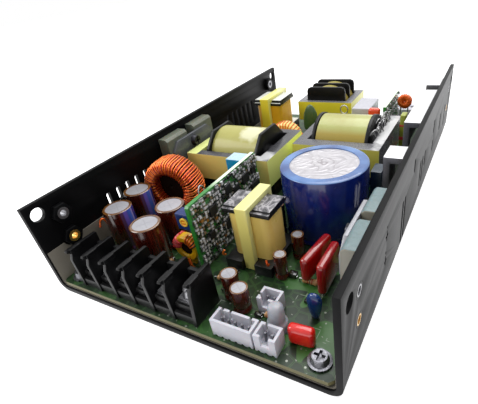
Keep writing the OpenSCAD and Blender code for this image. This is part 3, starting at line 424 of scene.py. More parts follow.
for finish, names in (
        (black_sheet, "chassis clinch_nuts"), (film, "insulator_sheet"), (laminate, "main_board"),
        (zinc, "board_spacers board_screws terminal_screws terminal_clamps"), (dark_pin, "header_pins"),
        (black_plastic, "terminal_block bridge_rectifier"),
        (black_plastic, "aux_bobbin main_bobbin boost_bobbin choke_bobbin rear_bobbin"),
        (nylon, "wide_header front_header rear_header input_terminal"), (lens, "status_led"),
        (dark_core, "output_toroid_core"), (copper, "output_toroid_winding small_toroid_winding"),
        (trimmer_blue, "trimmer_body"), (trimmer_yellow, "trimmer_rotor"), (yellow_core, "small_toroid_core"),
        (card_laminate, "control_board rear_board"), (chip_plastic, "control_chips"),
        (tinned, "control_pins"),
        (pale_tape, "aux_core"), (amber_tape, "aux_winding"), (main_core_finish, "main_core"),
        (coil_tape, "main_winding"), (boost_core_finish, "boost_core"),
        (boost_tape, "boost_winding choke_winding"),
        (choke_core_finish, "choke_core"), (bright_tape, "rear_core"), (orange_tape, "rear_winding"),
        (red_coat, "film_capacitors small_film_capacitor"), (blue_coat, "disc_capacitor"),
        (green_coat, "varistor"), (cyan_case, "box_capacitor"), (silicone, "left_device_caps"),
        (pale_silicone, "right_device_caps"), (dark_plate, "left_clamp"),
        (bright_plate, "right_clamp wall_brackets"), (dark_steel, "clamp_screws"),
        (orange_wire, "rear_toroids"),
        (relay_case, "relay"), (can_metal, "small_capacitors bulk_capacitor output_capacitor_1"),
        (can_metal, "output_capacitor_2 output_capacitor_3 output_capacitor_4")):
    for name in names.split():
        nodes[name].data.materials.clear()
        nodes[name].data.materials.append(finish.material)


# ------------------------------------------------------------------ mesh helpers

def piece(name, mesh, replaced=(), body=FRAME_BODY, slot=None):
    """Puts a mesh in the scene as a piece that rides on a body."""
    made = bpy.data.objects.new(name, mesh)
    scene.collection.objects.link(made)
    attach(made, body)
    if replaced:
        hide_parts(*([replaced] if isinstance(replaced, str) else replaced))
    return made


def shaped(name, made, finishes, replaced=(), smooth=35, **more):
    """Makes a piece of a bmesh with its finishes, smooth but for edges sharper than the angle."""
    mesh = bpy.data.meshes.new(name)
    made.to_mesh(mesh)
    made.free()
    for finish in finishes:
        mesh.materials.append(finish.material)
    mesh.polygons.foreach_set("use_smooth", [True] * len(mesh.polygons))
    mesh.set_sharp_from_angle(angle=math.radians(smooth))
    return piece(name, mesh, replaced, **more)


def edged(node, finishes, width, segments=2):
    """A copy of a CAD node with rounded edges that stands for it; a second finish goes on the edges."""
    made = bmesh.new()
    made.from_mesh(nodes[node].data)
    bmesh.ops.remove_doubles(made, verts=made.verts, dist=0.002 * MM)
    bmesh.ops.dissolve_limit(made, angle_limit=math.radians(0.6), verts=made.verts, edges=made.edges)
    sharp = [e for e in made.edges if len(e.link_faces) == 2 and e.calc_face_angle(0) > math.radians(30)]
    bmesh.ops.bevel(made, geom=sharp, offset=width * MM, segments=segments, profile=0.6, affect="EDGES",
                    clamp_overlap=True, material=len(finishes) - 1 or -1)
    return shaped(node + "_dressed", made, finishes, node)


def spin(made, centre, profile, segments=48):
    """Adds a turned shape on an upright axis; profile holds (radius, height, finish number) in mm."""
    uv = made.loops.layers.uv.verify()
    rings = []
    for radius, z, _ in profile:
        if radius < 1e-4:
            rings.append([made.verts.new((centre[0], centre[1], z * MM))])
            continue
        rings.append([made.verts.new((centre[0] + radius * MM * math.cos(2 * math.pi * i / segments),
                                      centre[1] + radius * MM * math.sin(2 * math.pi * i / segments), z * MM))
                      for i in range(segments)])
    for k in range(len(profile) - 1):
        low, high = rings[k], rings[k + 1]
        for i in range(segments):
            j = (i + 1) % segments
            corners = []
            if len(low) > 1:
                corners += [(low[i], i, k), (low[j], i + 1, k)]
            else:
                corners += [(low[0], i + 0.5, k)]
            if len(high) > 1:
                corners += [(high[j], i + 1, k + 1), (high[i], i, k + 1)]
            else:
                corners += [(high[0], i + 0.5, k + 1)]
            if len(corners) < 3:
                continue
            face = made.faces.new([c[0] for c in corners])
            face.material_index = profile[k + 1][2]
            flat = profile[k][1] == profile[k + 1][1] and profile[k + 1][2] == 2 and k > 1
            for loop, (_, u, ring) in zip(face.loops, corners):
                turn = 2 * math.pi * u / segments
                loop[uv].uv = ((0.5 + profile[ring][0] * 0.01 * math.cos(turn), 0.5 + profile[ring][0] * 0.01
                                * math.sin(turn)) if flat else (u / segments, profile[ring][1] * 0.01))
    return made


def solids(node):
    """Lowest and highest corners of each separate solid of a CAD node, from the output end inwards."""
    made = bmesh.new()
    made.from_mesh(nodes[node].data)
    bmesh.ops.remove_doubles(made, verts=made.verts, dist=0.002 * MM)
    left, found = set(made.verts), []
    while left:
        reach, island = [left.pop()], []
        while reach:
            vert = reach.pop()
            island.append(vert.co.copy())
            for edge in vert.link_edges:
                other = edge.other_vert(vert)
                if other in left:
                    left.discard(other)
                    reach.append(other)
        found.append((Vector(min(c[k] for c in island) for k in range(3)),
                      Vector(max(c[k] for c in island) for k in range(3))))
    made.free()
    return sorted(found, key=lambda b: (round(b[0].y, 4), b[0].x))


def centre_of(node):
    lo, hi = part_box(node)
    return (lo + hi) / 2


def block(made, lo, hi, width=0.3, segments=2, index=0, taper=(0, 0)):
    """Adds a box with rounded edges; taper draws the top in by that much in x and y."""
    lo, hi = Vector(lo), Vector(hi)
    verts = []
    for x, y, z in ((a, b, c) for a in (0, 1) for b in (0, 1) for c in (0, 1)):
        dx = taper[0] * (1 - 2 * x) if z else 0
        dy = taper[1] * (1 - 2 * y) if z else 0
        verts.append(made.verts.new(((hi.x if x else lo.x) + dx, (hi.y if y else lo.y) + dy,
                                     hi.z if z else lo.z)))
    faces = [made.faces.new([verts[i] for i in order]) for order in
             ((0, 1, 3, 2), (4, 6, 7, 5), (0, 4, 5, 1), (2, 3, 7, 6), (0, 2, 6, 4), (1, 5, 7, 3))]
    for face in faces:
        face.material_index = index
    if width:
        edges = list({e for f in faces for e in f.edges})
        out = bmesh.ops.bevel(made, geom=edges, offset=width * MM, segments=segments, profile=0.5,
                              affect="EDGES", clamp_overlap=True)
        faces = out["faces"] + [f for f in faces if f.is_valid]
    for face in faces:
        face.material_index = index
    return faces


def tube(made, points, radius, sides=8, index=0):
    """Adds a round wire through points in metres, closed at both ends."""
    points = [Vector(p) for p in points]
    rings = []
    up = Vector((0.3, 0.1, 1)).normalized()
    for i, here in enumerate(points):
        along = (points[min(i + 1, len(points) - 1)] - points[max(i - 1, 0)]).normalized()
        side = along.cross(up)
        if side.length < 1e-3:
            side = along.cross(Vector((1, 0.2, 0)))
        side.normalize()
        other = along.cross(side).normalized()
        rings.append([made.verts.new(here + radius * MM * (side * math.cos(2 * math.pi * k / sides)
                                                          + other * math.sin(2 * math.pi * k / sides)))
                      for k in range(sides)])
    faces = []
    for low, high in zip(rings, rings[1:]):
        for k in range(sides):
            n = (k + 1) % sides
            faces.append(made.faces.new((low[k], low[n], high[n], high[k])))
    faces.append(made.faces.new(rings[0][::-1]))
    faces.append(made.faces.new(rings[-1]))
    for face in faces:
        face.material_index = index
    return faces


def curve_through(points, steps=6):
    """Points of a smooth path through the given ones."""
    pts = [Vector(p) for p in points]
    pts = [2 * pts[0] - pts[1]] + pts + [2 * pts[-1] - pts[-2]]
    out = []
    for i in range(1, len(pts) - 2):
        p0, p1, p2, p3 = pts[i - 1:i + 3]
        for k in range(steps):
            t = k / steps
            out.append(0.5 * ((2 * p1) + (p2 - p0) * t + (2 * p0 - 5 * p1 + 4 * p2 - p3) * t * t
                              + (3 * p1 - p0 - 3 * p2 + p3) * t ** 3))
    return out + [pts[-2]]


def tidy_normals(made):
    bmesh.ops.recalc_face_normals(made, faces=made.faces)


def settle(made, part, place, turn):
    """Turns a loose bmesh, moves it to its place and joins it to another."""
    bmesh.ops.rotate(part, cent=(0, 0, 0), matrix=turn, verts=part.verts)
    bmesh.ops.translate(part, vec=place, verts=part.verts)
    tidy_normals(part)
    held = bpy.data.meshes.new("part")
    part.to_mesh(held)
    part.free()
    made.from_mesh(held)
    bpy.data.meshes.remove(held)


# ------------------------------------------------------------------ geometry node trees

def run_tree(tree, values):
    """Evaluates a tree with the given inputs and returns a plain mesh."""
    holder = bpy.data.objects.new("holder", bpy.data.meshes.new("holder"))
    scene.collection.objects.link(holder)
    modifier = holder.modifiers.new("make", "NODES")
    modifier.node_group = tree
    for item in tree.interface.items_tree:
        if item.in_out == "INPUT" and item.name in values:
            modifier[item.identifier] = values[item.name]
    ready = holder.evaluated_get(bpy.context.evaluated_depsgraph_get())
    mesh = bpy.data.meshes.new_from_object(ready)
    bpy.data.objects.remove(holder)
    return mesh


def make_wound_ring():
    """Wire wound round a ring that stands in the XZ plane."""
    number, whole = "NodeSocketFloat", "NodeSocketInt"
    tree, take, end = group_tree("wound_ring", "GeometryNodeTree",
        {"Turns": (whole, 40), "Steps": (whole, 24), "Ring Radius": (number, 0.012),
         "Half Depth": (number, 0.003),
         "Half Width": (number, 0.006), "Wire Radius": (number, 0.0003), "From": (number, 0.0),
         "Sweep": (number, 6.0), "Corner": (number, 0.5), "Wobble": (number, 0.0), "Seed": (whole, 1),
         "Wire Finish": ("NodeSocketMaterial", None)},
        {"Geometry": "NodeSocketGeometry"})
    last = sums(tree, "MULTIPLY", take["Turns"], take["Steps"])
    count = sums(tree, "ADD", last, 1.0)
    line = add(tree, "GeometryNodeMeshLine", Count=count)
    index = add(tree, "GeometryNodeInputIndex")
    part = sums(tree, "DIVIDE", index, last)
    turn = sums(tree, "MULTIPLY", sums(tree, "MULTIPLY", part, take["Turns"]), 2 * math.pi)
    jitter = add(tree, "FunctionNodeRandomValue", out=1, settings={"data_type": "FLOAT"}, i2=-1.0, i3=1.0,
                 ID=sums(tree, "FLOOR", sums(tree, "DIVIDE", index, take["Steps"])), Seed=take["Seed"])
    angle = sums(tree, "ADD", sums(tree, "MULTIPLY_ADD", part, take["Sweep"], take["From"]),
                 sums(tree, "MULTIPLY", jitter, take["Wobble"]))

    def rounded(value):
        power = sums(tree, "POWER", sums(tree, "ABSOLUTE", value), take["Corner"])
        return sums(tree, "MULTIPLY", power, sums(tree, "SIGN", value))

    radius = sums(tree, "MULTIPLY_ADD", rounded(sums(tree, "COSINE", turn)), take["Half Depth"],
                  take["Ring Radius"])
    across = sums(tree, "MULTIPLY", rounded(sums(tree, "SINE", turn)), take["Half Width"])
    place = add(tree, "ShaderNodeCombineXYZ", X=sums(tree, "MULTIPLY", radius, sums(tree, "COSINE", angle)),
                Y=across, Z=sums(tree, "MULTIPLY", radius, sums(tree, "SINE", angle)))
    path = add(tree, "GeometryNodeMeshToCurve",
               Mesh=add(tree, "GeometryNodeSetPosition", Geometry=line, Position=place))
    ring = add(tree, "GeometryNodeCurvePrimitiveCircle", Resolution=6, Radius=take["Wire Radius"])
    wire_mesh = add(tree, "GeometryNodeCurveToMesh", Curve=path, Profile_Curve=ring, Fill_Caps=True)
    whole_mesh = add(tree, "GeometryNodeRealizeInstances", Geometry=wire_mesh)
    smooth = add(tree, "GeometryNodeSetShadeSmooth", Geometry=whole_mesh)
    done = add(tree, "GeometryNodeSetMaterial", Geometry=smooth, Material=take["Wire Finish"])
    tree.links.new(done, end.inputs["Geometry"])
    return tree


def make_scattered_parts():
    """Surface mounted parts on a grid in the XY plane: plain bodies, or the tinned ends of them."""
    number, whole = "NodeSocketFloat", "NodeSocketInt"
    tree, take, end = group_tree("surface_parts", "GeometryNodeTree",
        {"Width": (number, 0.04), "Height": (number, 0.02), "Columns": (whole, 20), "Rows": (whole, 10),
         "Length": (number, 0.0016), "Breadth": (number, 0.0008), "Thickness": (number, 0.0005),
         "Low": (number, 0.0), "High": (number, 1.0), "Shift": (number, 0.0003),
         "Ends": ("NodeSocketBool", False),
         "Seed": (whole, 1), "Part Finish": ("NodeSocketMaterial", None)},
        {"Geometry": "NodeSocketGeometry"})
    grid = add(tree, "GeometryNodeMeshGrid", Size_X=take["Width"], Size_Y=take["Height"],
               Vertices_X=take["Columns"], Vertices_Y=take["Rows"])
    index = add(tree, "GeometryNodeInputIndex")

    def chance(offset, low=0.0, high=1.0):
        seed = sums(tree, "ADD", take["Seed"], float(offset))
        return add(tree, "FunctionNodeRandomValue", out=1, settings={"data_type": "FLOAT"},
                   i2=low, i3=high, ID=index, Seed=seed)

    pick = chance(0)
    chosen = sums(tree, "MULTIPLY", sums(tree, "GREATER_THAN", pick, take["Low"]),
                  sums(tree, "LESS_THAN", pick, take["High"]))
    span = take["Shift"]
    move = add(tree, "ShaderNodeCombineXYZ", X=sums(tree, "MULTIPLY", chance(5, -1.0), span),
               Y=sums(tree, "MULTIPLY", chance(6, -1.0), span))
    moved = add(tree, "GeometryNodeSetPosition", Geometry=grid, Offset=move)
    body_size = add(tree, "ShaderNodeCombineXYZ", X=take["Length"], Y=take["Breadth"], Z=take["Thickness"])
    body = add(tree, "GeometryNodeMeshCube", Size=body_size)
    cap_size = add(tree, "ShaderNodeCombineXYZ", X=sums(tree, "MULTIPLY", take["Length"], 0.22),
                   Y=sums(tree, "MULTIPLY", take["Breadth"], 1.06),
                   Z=sums(tree, "MULTIPLY", take["Thickness"], 1.1))
    cap = add(tree, "GeometryNodeMeshCube", Size=cap_size)
    caps = tree.nodes.new("GeometryNodeJoinGeometry")
    for side in (-0.43, 0.43):
        spot = add(tree, "ShaderNodeCombineXYZ", X=sums(tree, "MULTIPLY", take["Length"], side))
        tree.links.new(add(tree, "GeometryNodeTransform", Geometry=cap, Translation=spot), caps.inputs[0])
    shape = add(tree, "GeometryNodeSwitch", settings={"input_type": "GEOMETRY"}, Switch=take["Ends"])
    switch = shape.node
    tree.links.new(body, switch.inputs["False"])
    tree.links.new(caps.outputs[0], switch.inputs["True"])
    lift = add(tree, "ShaderNodeCombineXYZ", Z=sums(tree, "MULTIPLY", take["Thickness"], 0.5))
    lifted = add(tree, "GeometryNodeTransform", Geometry=shape, Translation=lift)
    turned = add(tree, "ShaderNodeCombineXYZ",
                 Z=sums(tree, "MULTIPLY", sums(tree, "ROUND", chance(9)), math.pi / 2))
    size = chance(3, 0.75, 1.15)
    copies = add(tree, "GeometryNodeInstanceOnPoints", Points=moved, Selection=chosen, Instance=lifted,
                 Rotation=turned, Scale=size)
    real = add(tree, "GeometryNodeRealizeInstances", Geometry=copies)
    done = add(tree, "GeometryNodeSetMaterial", Geometry=real, Material=take["Part Finish"])
    tree.links.new(done, end.inputs["Geometry"])
    return tree


WOUND_RING = make_wound_ring()
SURFACE_PARTS = make_scattered_parts()


def joined(meshes, name):
    """Several meshes as one, each keeping its own finish."""
    out = bmesh.new()
    finishes = []
    for mesh in meshes:
        start = len(finishes)
        finishes += list(mesh.materials)
        before = len(out.faces)
        out.from_mesh(mesh)
        out.faces.ensure_lookup_table()
        for face in out.faces[before:]:
            face.material_index += start
        bpy.data.meshes.remove(mesh)
    result = bpy.data.meshes.new(name)
    out.to_mesh(result)
    out.free()
    for material in finishes:
        result.materials.append(material)
    return result


# ------------------------------------------------------------------ capacitors

def sleeve(name, base, second, bands=(), streaks=0.5, **extra):
    """Shrink sleeve: upright dark streaks, pale ones that imitate glints, and bands (from, to, colour)."""
    made = Finish(name, base, second, rough=0.22, size=2.0, coat=0.6, coat_rough=0.1, bump=0.15, **extra)
    tree = made.tree
    stretched = add(tree, "ShaderNodeMapping", Vector=made.uv, Scale=(46.0, 2.0, 1.0))
    streak = add(tree, "ShaderNodeTexNoise", Vector=stretched, Scale=1.0, Detail=2.0)
    dark = tuple(c * 0.4 for c in base)
    made.paint(made.between(streak, 0.50, 0.8, 0.05), dark, share=streaks)
    made.paint(made.between(streak, 0.30, 0.40, 0.02), tuple(min(1, c * 1.5 + 0.08) for c in base),
               share=streaks * 0.5)
    u = made.axis("X", made.uv)
    for low, high, tint in bands:
        made.paint(made.between(u, low, high, 0.006), tint, rough=0.16)
    return made


VIOLET_BANDS = ((0.905, 0.94, (0.36, 0.24, 0.38)), (0.94, 0.985, (0.44, 0.36, 0.74)),
                (0.985, 1.001, (0.28, 0.40, 0.78)), (-0.001, 0.035, (0.28, 0.40, 0.78)),
                (0.035, 0.06, (0.56, 0.52, 0.78)), (0.06, 0.11, (0.18, 0.20, 0.50)))
brown_sleeve = sleeve("brown_sleeve", (0.33, 0.09, 0.05), (0.20, 0.05, 0.03), bands=VIOLET_BANDS)
plain_brown_sleeve = sleeve("plain_brown_sleeve", (0.36, 0.10, 0.05), (0.22, 0.05, 0.03))
green_sleeve = sleeve("dark_green_sleeve", (0.09, 0.15, 0.09), (0.06, 0.11, 0.06))
blue_sleeve = sleeve("blue_sleeve", (0.08, 0.16, 0.48), (0.06, 0.12, 0.40), streaks=0.05)
rim_brown = Finish("folded_sleeve_rim", (0.50, 0.34, 0.16), (0.28, 0.14, 0.07), rough=0.2, size=0.9, coat=0.6)
rim_blue = Finish("folded_blue_rim", (0.40, 0.56, 0.78), (0.08, 0.20, 0.46), rough=0.24, size=1.8, patch=0.9,
                  coat=0.5, bump=0.3, bump_mm=0.2)
rubber = Finish("black_rubber", (0.10, 0.10, 0.10), (0.07, 0.07, 0.07), rough=0.7, size=0.5)


def can_top(name, base, second, score, arms=0.5, width=0.0045, **extra):
    """Bare disc let into the sleeve, with its pressure score across the middle, sunk by bump and painted
    darker in its groove as painted shade.
    """
    made = Finish(name, base, second, rough=0.38, metal=0.2, **extra)
    tree = made.tree
    spot = add(tree, "ShaderNodeMapping", Vector=made.uv, Location=(-0.5, -0.5, 0))
    spot = add(tree, "ShaderNodeMapping", Vector=spot, Rotation=(0, 0, 0.6))
    x, y = made.axis("X", spot), made.axis("Y", spot)
    away = add(tree, "ShaderNodeVectorMath", out=1, settings={"operation": "LENGTH"}, i0=spot)
    lines = sums(tree, "MAXIMUM", made.between(x, -width, width, width * 0.6),
                 made.between(y, -width, width, width * 0.6))
    lines = made.times(lines, sums(tree, "LESS_THAN", away, arms))
    # painted shade: the score is painted darker
    made.paint(lines, score, share=0.35)
    made.raise_by(made.times(lines, -1.5))
    return made


small_top = can_top("scored_can_top", (0.70, 0.70, 0.72), (0.60, 0.60, 0.63), (0.50, 0.50, 0.52), arms=0.036,
                    width=0.0016, size=1.2, patch=0.6, bump=0.25, bump_mm=0.1)
bulk_top = can_top("wrinkled_can_top", (0.78, 0.77, 0.78), (0.68, 0.67, 0.69), (0.60, 0.58, 0.60), arms=0.0,
                   size=4.5, patch=0.9, bump=0.7, bump_mm=0.6)


def wrinkle(made):
    """Rings and creases that spread from the vent of a large can."""
    tree = made.tree
    spot = add(tree, "ShaderNodeMapping", Vector=made.uv, Location=(-0.5, -0.5, 0))
    swirl = add(tree, "ShaderNodeTexNoise", Vector=spot, Scale=9.0, Detail=1.0, Distortion=1.5)
    away = add(tree, "ShaderNodeVectorMath", out=1, settings={"operation": "LENGTH"}, i0=spot)
    rings = sums(tree, "SINE", sums(tree, "ADD", made.times(away, 120.0), made.times(swirl, 30.0)))
    crease = made.between(rings, 0.80, 2.0, 0.18)
    fade = add(tree, "ShaderNodeMapRange", Value=away, From_Min=0.02, From_Max=0.10, To_Min=1.0, To_Max=0.15)
    made.paint(made.times(crease, fade), (0.50, 0.47, 0.49), share=0.7)
    made.raise_by(made.times(rings, 0.25))


wrinkle(bulk_top)


def capacitor(name, node_names, cans, sleeves, rim, top, shoulder=0.7, fold=0.7, dip=0.3):
    """Radial cans as one piece: cans holds (x, y, radius, base, top, sleeve number) in mm but for x, y."""
    made = bmesh.new()
    for x, y, r, z0, z1, kind in cans:
        spin(made, (x, y), [(0, z0 + 0.3, 0), (r - 0.9, z0 + 0.3, 0), (r - 0.9, z0, 0), (r - 0.3, z0, kind),
                            (r, z0 + 0.5, kind), (r, z0 + 1.6, kind), (r - 0.4, z0 + 2.2, kind),
                            (r - 0.4, z0 + 2.7, kind), (r, z0 + 3.3, kind), (r, z1 - shoulder, kind),
                            (r - 0.12 * shoulder, z1 - 0.4 * shoulder, kind),
                            (r - 0.45 * shoulder, z1 - 0.1 * shoulder, 1), (r - shoulder, z1, 1),
                            (r - shoulder - fold, z1 - 0.05, 1), (r - shoulder - fold - 0.08, z1 - dip, 1),
                            (0, z1 - dip, 2)], segments=64 if r > 10 else 40)
    tidy_normals(made)
    return shaped(name, made, [rubber, rim, top] + sleeves, node_names)


def dims(node):
    lo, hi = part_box(node)
    return (lo.x + hi.x) / 2, (lo.y + hi.y) / 2, (hi.x - lo.x) / 2 / MM, lo.z / MM, hi.z / MM


for number in range(1, 5):
    node = "output_capacitor_%d" % number
    capacitor(node + "_can", node, [(*dims(node), 3)], [brown_sleeve if number < 3 else plain_brown_sleeve],
              rim_brown, small_top, fold=0.45)

capacitor("bulk_capacitor_can", "bulk_capacitor", [(*dims("bulk_capacitor"), 3)], [blue_sleeve], rim_blue,
          bulk_top,
          shoulder=1.1, fold=2.7, dip=0.5)

small_cans = [((lo.x + hi.x) / 2, (lo.y + hi.y) / 2, (hi.x - lo.x) / 2 / MM, lo.z / MM, hi.z / MM,
               4 if hi.z > 18 * MM else 3) for lo, hi in solids("small_capacitors")]
capacitor("small_cans", "small_capacitors", small_cans, [plain_brown_sleeve, green_sleeve], rim_brown,
          small_top,
          shoulder=0.35, fold=0.25, dip=0.15)


# ------------------------------------------------------------------ wound toroids

def wound(name, node, centre, turn, windings):
    """Windings round a standing ring, turned about the upright and set at its centre."""
    meshes = [run_tree(WOUND_RING, values) for values in windings]
    mesh = joined(meshes, name)
    mesh.transform(Matrix.Translation(centre) @ Matrix.Rotation(turn, 4, "Z"))
    return piece(name, mesh, node)


# painted shade: the middle strand of each turn, set deeper, is painted darker copper
dark_copper = Finish("shaded_copper", (0.72, 0.17, 0.05), (0.46, 0.08, 0.03), rough=0.3, metal=0.4, size=1.2,
                     coat=0.3)
ring_lo, ring_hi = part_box("output_toroid_winding")
ring_mid = (ring_lo + ring_hi) / 2
OUTER, INNER = (ring_hi.z - ring_lo.z) / 2, 7.2 * MM      # radii of the wound ring
HALF_WIDTH, STRAND = 6.5 * MM, 0.36 * MM                  # half its width, and the wire's radius
TURNS, TURN_PITCH = 30, math.radians(336) / 30
STRAND_STEP = 0.27 * TURN_PITCH                           # from one strand of a turn to the next
BORE_EDGE, BORE_FADE = 10.4 * MM, 1.6 * MM                # where the painted shade in the bore ends
# painted shade: copper near the ring's axis, in the bore, is painted dark brown
for look in (copper, dark_copper):
    split = add(look.tree, "ShaderNodeMapping", Vector=look.coords, Location=-ring_mid, Scale=(1, 0, 1))
    from_axis = add(look.tree, "ShaderNodeVectorMath", out=1, settings={"operation": "LENGTH"}, i0=split)
    bore = look.between(from_axis, -1.0, BORE_EDGE, BORE_FADE)
    look.paint(bore, (0.16, 0.07, 0.04), share=0.9, rough=0.6)
wound("output_toroid_wire", "output_toroid_winding", ring_mid, math.radians(9), [
    {"Turns": TURNS, "Steps": 26, "Ring Radius": (OUTER + INNER) / 2 - inset * MM,
     "Half Depth": (OUTER - INNER) / 2 - STRAND, "Half Width": HALF_WIDTH - STRAND, "Wire Radius": STRAND,
     "From": math.radians(-78) + k * STRAND_STEP, "Sweep": math.radians(334), "Corner": 0.55, "Wobble": 0.014,
     "Seed": 4 + k, "Wire Finish": look.material}
    for k, inset, look in ((0, 0.0, copper), (1, 0.45, dark_copper), (2, 0.15, copper))])

SMALL_RING_Z = 12.9 * MM
small_mid = centre_of("small_toroid_core")
small_centre = Vector((small_mid.x, small_mid.y, SMALL_RING_Z))

(near_lo, near_hi), (lead_lo, lead_hi) = solids("rear_toroids")
near_ring = Vector(((near_lo.x + near_hi.x) / 2, (near_lo.y + near_hi.y) / 2, near_hi.z - 5.4 * MM))
lead_ring = Vector(((lead_lo.x + lead_hi.x) / 2, (lead_lo.y + lead_hi.y) / 2, lead_hi.z - 4.0 * MM))
pale_glaze = Finish("pale_ring_paint", (0.96, 0.90, 0.62), (0.90, 0.78, 0.36), rough=0.25, size=2.0)
black_wire = Finish("black_wire", (0.12, 0.08, 0.06), (0.08, 0.05, 0.04), rough=0.35, size=0.5)
RING_COIL = {"Steps": 20, "Corner": 0.55, "Wobble": 0.01}
wound("small_toroid_wire", "small_toroid_winding", small_centre, 0.0, [
    {**RING_COIL, "Turns": turns, "Ring Radius": 4.35 * MM, "Half Depth": 1.6 * MM, "Half Width": 2.4 * MM,
     "Wire Radius": thick * MM, "From": math.radians(start), "Sweep": math.radians(sweep), "Seed": turns,
     "Wire Finish": look.material}
    for turns, thick, start, sweep, look in ((4, 0.55, 118, 60, red_wire), (4, 0.24, 12, 54, black_wire),
                                             (5, 0.30, 20, 54, orange_wire))])


def plain_ring(made, centre, outer, inner, half, index=0):
    """A painted ring core standing across the length, with rounded shoulders."""
    part = bmesh.new()
    edge = 0.25 * half
    spin(part, (0, 0), [(r, z, index) for r, z in (
        (inner, -half + edge), (inner + edge, -half), (outer - edge, -half), (outer, -half + edge),
        (outer, half - edge), (outer - edge, half), (inner + edge, half), (inner, half - edge),
        (inner, -half + edge))], segments=40)
    bmesh.ops.remove_doubles(part, verts=part.verts, dist=0.001 * MM)
    settle(made, part, centre, Matrix.Rotation(math.pi / 2, 3, "X"))


made = bmesh.new()
plain_ring(made, small_centre, outer=5.7, inner=3.0, half=2.1)
block(made, small_centre + Vector((-2.4, -0.8, -8)) * MM, small_centre + Vector((2.4, 0.8, -5.2)) * MM, 0.2)
# a dark disc across the bore here, and in the large ring, is painted shade that darkens the bore: the CAD has
# no such piece
plain_ring(made, small_centre, outer=3.1, inner=0.2, half=1.2, index=1)
shaped("small_toroid_ring", made, [yellow_core, dark_core], "small_toroid_core")
made = bmesh.new()
plain_ring(made, ring_mid, outer=7.6, inner=0.4, half=2.4)
shaped("output_toroid_bore_shade", made, [dark_core], slot="dark_core")


def rear_ring_chokes():
    made = bmesh.new()
    plain_ring(made, near_ring, outer=8.9, inner=3.8, half=3.2)
    plain_ring(made, lead_ring, outer=3.6, inner=0.3, half=1.4, index=1)
    for side in (-2, 2):
        tube(made, [(lead_ring.x + side * MM, lead_ring.y, BOARD_TOP), (lead_ring.x + side * MM, lead_ring.y,
                                                                      lead_ring.z - 3 * MM)], 0.4, index=2)
    block(made, (near_ring.x - 2.4 * MM, near_ring.y - 1.2 * MM, BOARD_TOP),
          (near_ring.x + 2.4 * MM, near_ring.y + 1.2 * MM, near_ring.z - 7 * MM), 0.1, index=0)
    block(made, (near_ring.x - 7 * MM, near_ring.y - 4 * MM, BOARD_TOP + 0.5 * MM),
          (near_ring.x + 7 * MM, near_ring.y + 4 * MM, near_ring.z - 8.4 * MM), 0.5, index=3)
    tidy_normals(made)
    shaped("rear_ring_cores", made, [pale_glaze, orange_wire, tinned, black_plastic], "rear_toroids")
    coil = {**RING_COIL, "Wire Finish": orange_wire.material}
    wound("rear_ring_wire", "rear_toroids", near_ring, 0.0, [
        {**coil, "Turns": 12, "Ring Radius": 6.4 * MM, "Half Depth": 2.75 * MM, "Half Width": 3.4 * MM,
         "Wire Radius": 0.3 * MM, "From": 0.0, "Sweep": math.radians(140), "Seed": 8}])
    wound("lead_ring_wire", "rear_toroids", lead_ring, 0.0, [
        {**coil, "Turns": 22, "Ring Radius": 2.4 * MM, "Half Depth": 1.45 * MM, "Half Width": 2.0 * MM,
         "Wire Radius": 0.28 * MM, "From": 0.0, "Sweep": math.radians(352), "Seed": 9}])


rear_ring_chokes()


# ------------------------------------------------------------------ control card

def on_card(node, name, seed, pitch=(1.55, 1.65), margin=1.2):
    """Dense small parts on the +X face of an upright card."""
    lo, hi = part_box(node)
    width, height = hi.y - lo.y - 2 * margin * MM, hi.z - lo.z - 2 * margin * MM
    shared = {"Width": width, "Height": height, "Columns": int(width / MM / pitch[0]),
              "Rows": int(height / MM / pitch[1]), "Shift": 0.25 * MM, "Seed": seed}
    kinds = [(0.0, 0.26, 1.4, 0.9, 0.6, chip_plastic), (0.26, 0.33, 1.4, 0.8, 0.8, tan_ceramic),
             (0.33, 0.90, 1.55, 1.2, 0.8, pale_part), (0.90, 0.92, 1.8, 1.1, 0.9, amber_part)]
    meshes = []
    for low, high, length, breadth, thick, finish in kinds:
        for ends, look in ((False, finish), (True, tinned)):
            meshes.append(run_tree(SURFACE_PARTS, {**shared, "Low": low, "High": high, "Length": length * MM,
                                                   "Breadth": breadth * MM, "Thickness": thick * MM,
                                                   "Ends": ends,
                                                   "Part Finish": look.material}))
    mesh = joined(meshes, name)
    face = Matrix(((0, 0, 1, hi.x), (1, 0, 0, (lo.y + hi.y) / 2), (0, 1, 0, (lo.z + hi.z) / 2), (0, 0, 0, 1)))
    mesh.transform(face)
    return piece(name, mesh)


tan_ceramic = Finish("tan_ceramic", (0.62, 0.50, 0.38), (0.54, 0.42, 0.30), rough=0.4, size=0.5)
pale_part = Finish("pale_part", (0.97, 0.97, 0.98), (0.62, 0.62, 0.66), rough=0.3, size=0.6)
amber_part = Finish("amber_part", (0.66, 0.46, 0.22), (0.56, 0.36, 0.16), rough=0.35, size=0.5)
on_card("control_board", "control_card_parts", 11)
on_card("rear_board", "rear_card_parts", 23, pitch=(2.6, 2.6))


# ------------------------------------------------------------------ dipped capacitors

def dipped(made, centre, size, turn=0.0, legs=3.0, index=0, wire=1):
    """A dipped body with soft edges on two legs; size is (thick, long, low, high) in mm."""
    thick, long, low, high = size
    part = bmesh.new()
    block(part, (-thick / 2 * MM, -long / 2 * MM, low * MM), (thick / 2 * MM, long / 2 * MM, high * MM),
          width=thick * 0.42, segments=5, index=index)
    for side in (-1, 1):
        tube(part, [(0, side * legs * MM, BOARD_TOP), (0, side * legs * MM, (low + 1) * MM)], 0.3, index=wire)
    settle(made, part, (centre[0], centre[1], 0), Matrix.Rotation(turn, 3, "Z"))


# film capacitors from the output end: bottom in mm, how far the top is lowered, turn, share of the length
FILMS = ((7.2, 0, 0, 1.0), (8.8, 1.2, -8, 1.0), (13, 0, 90, 0.75))


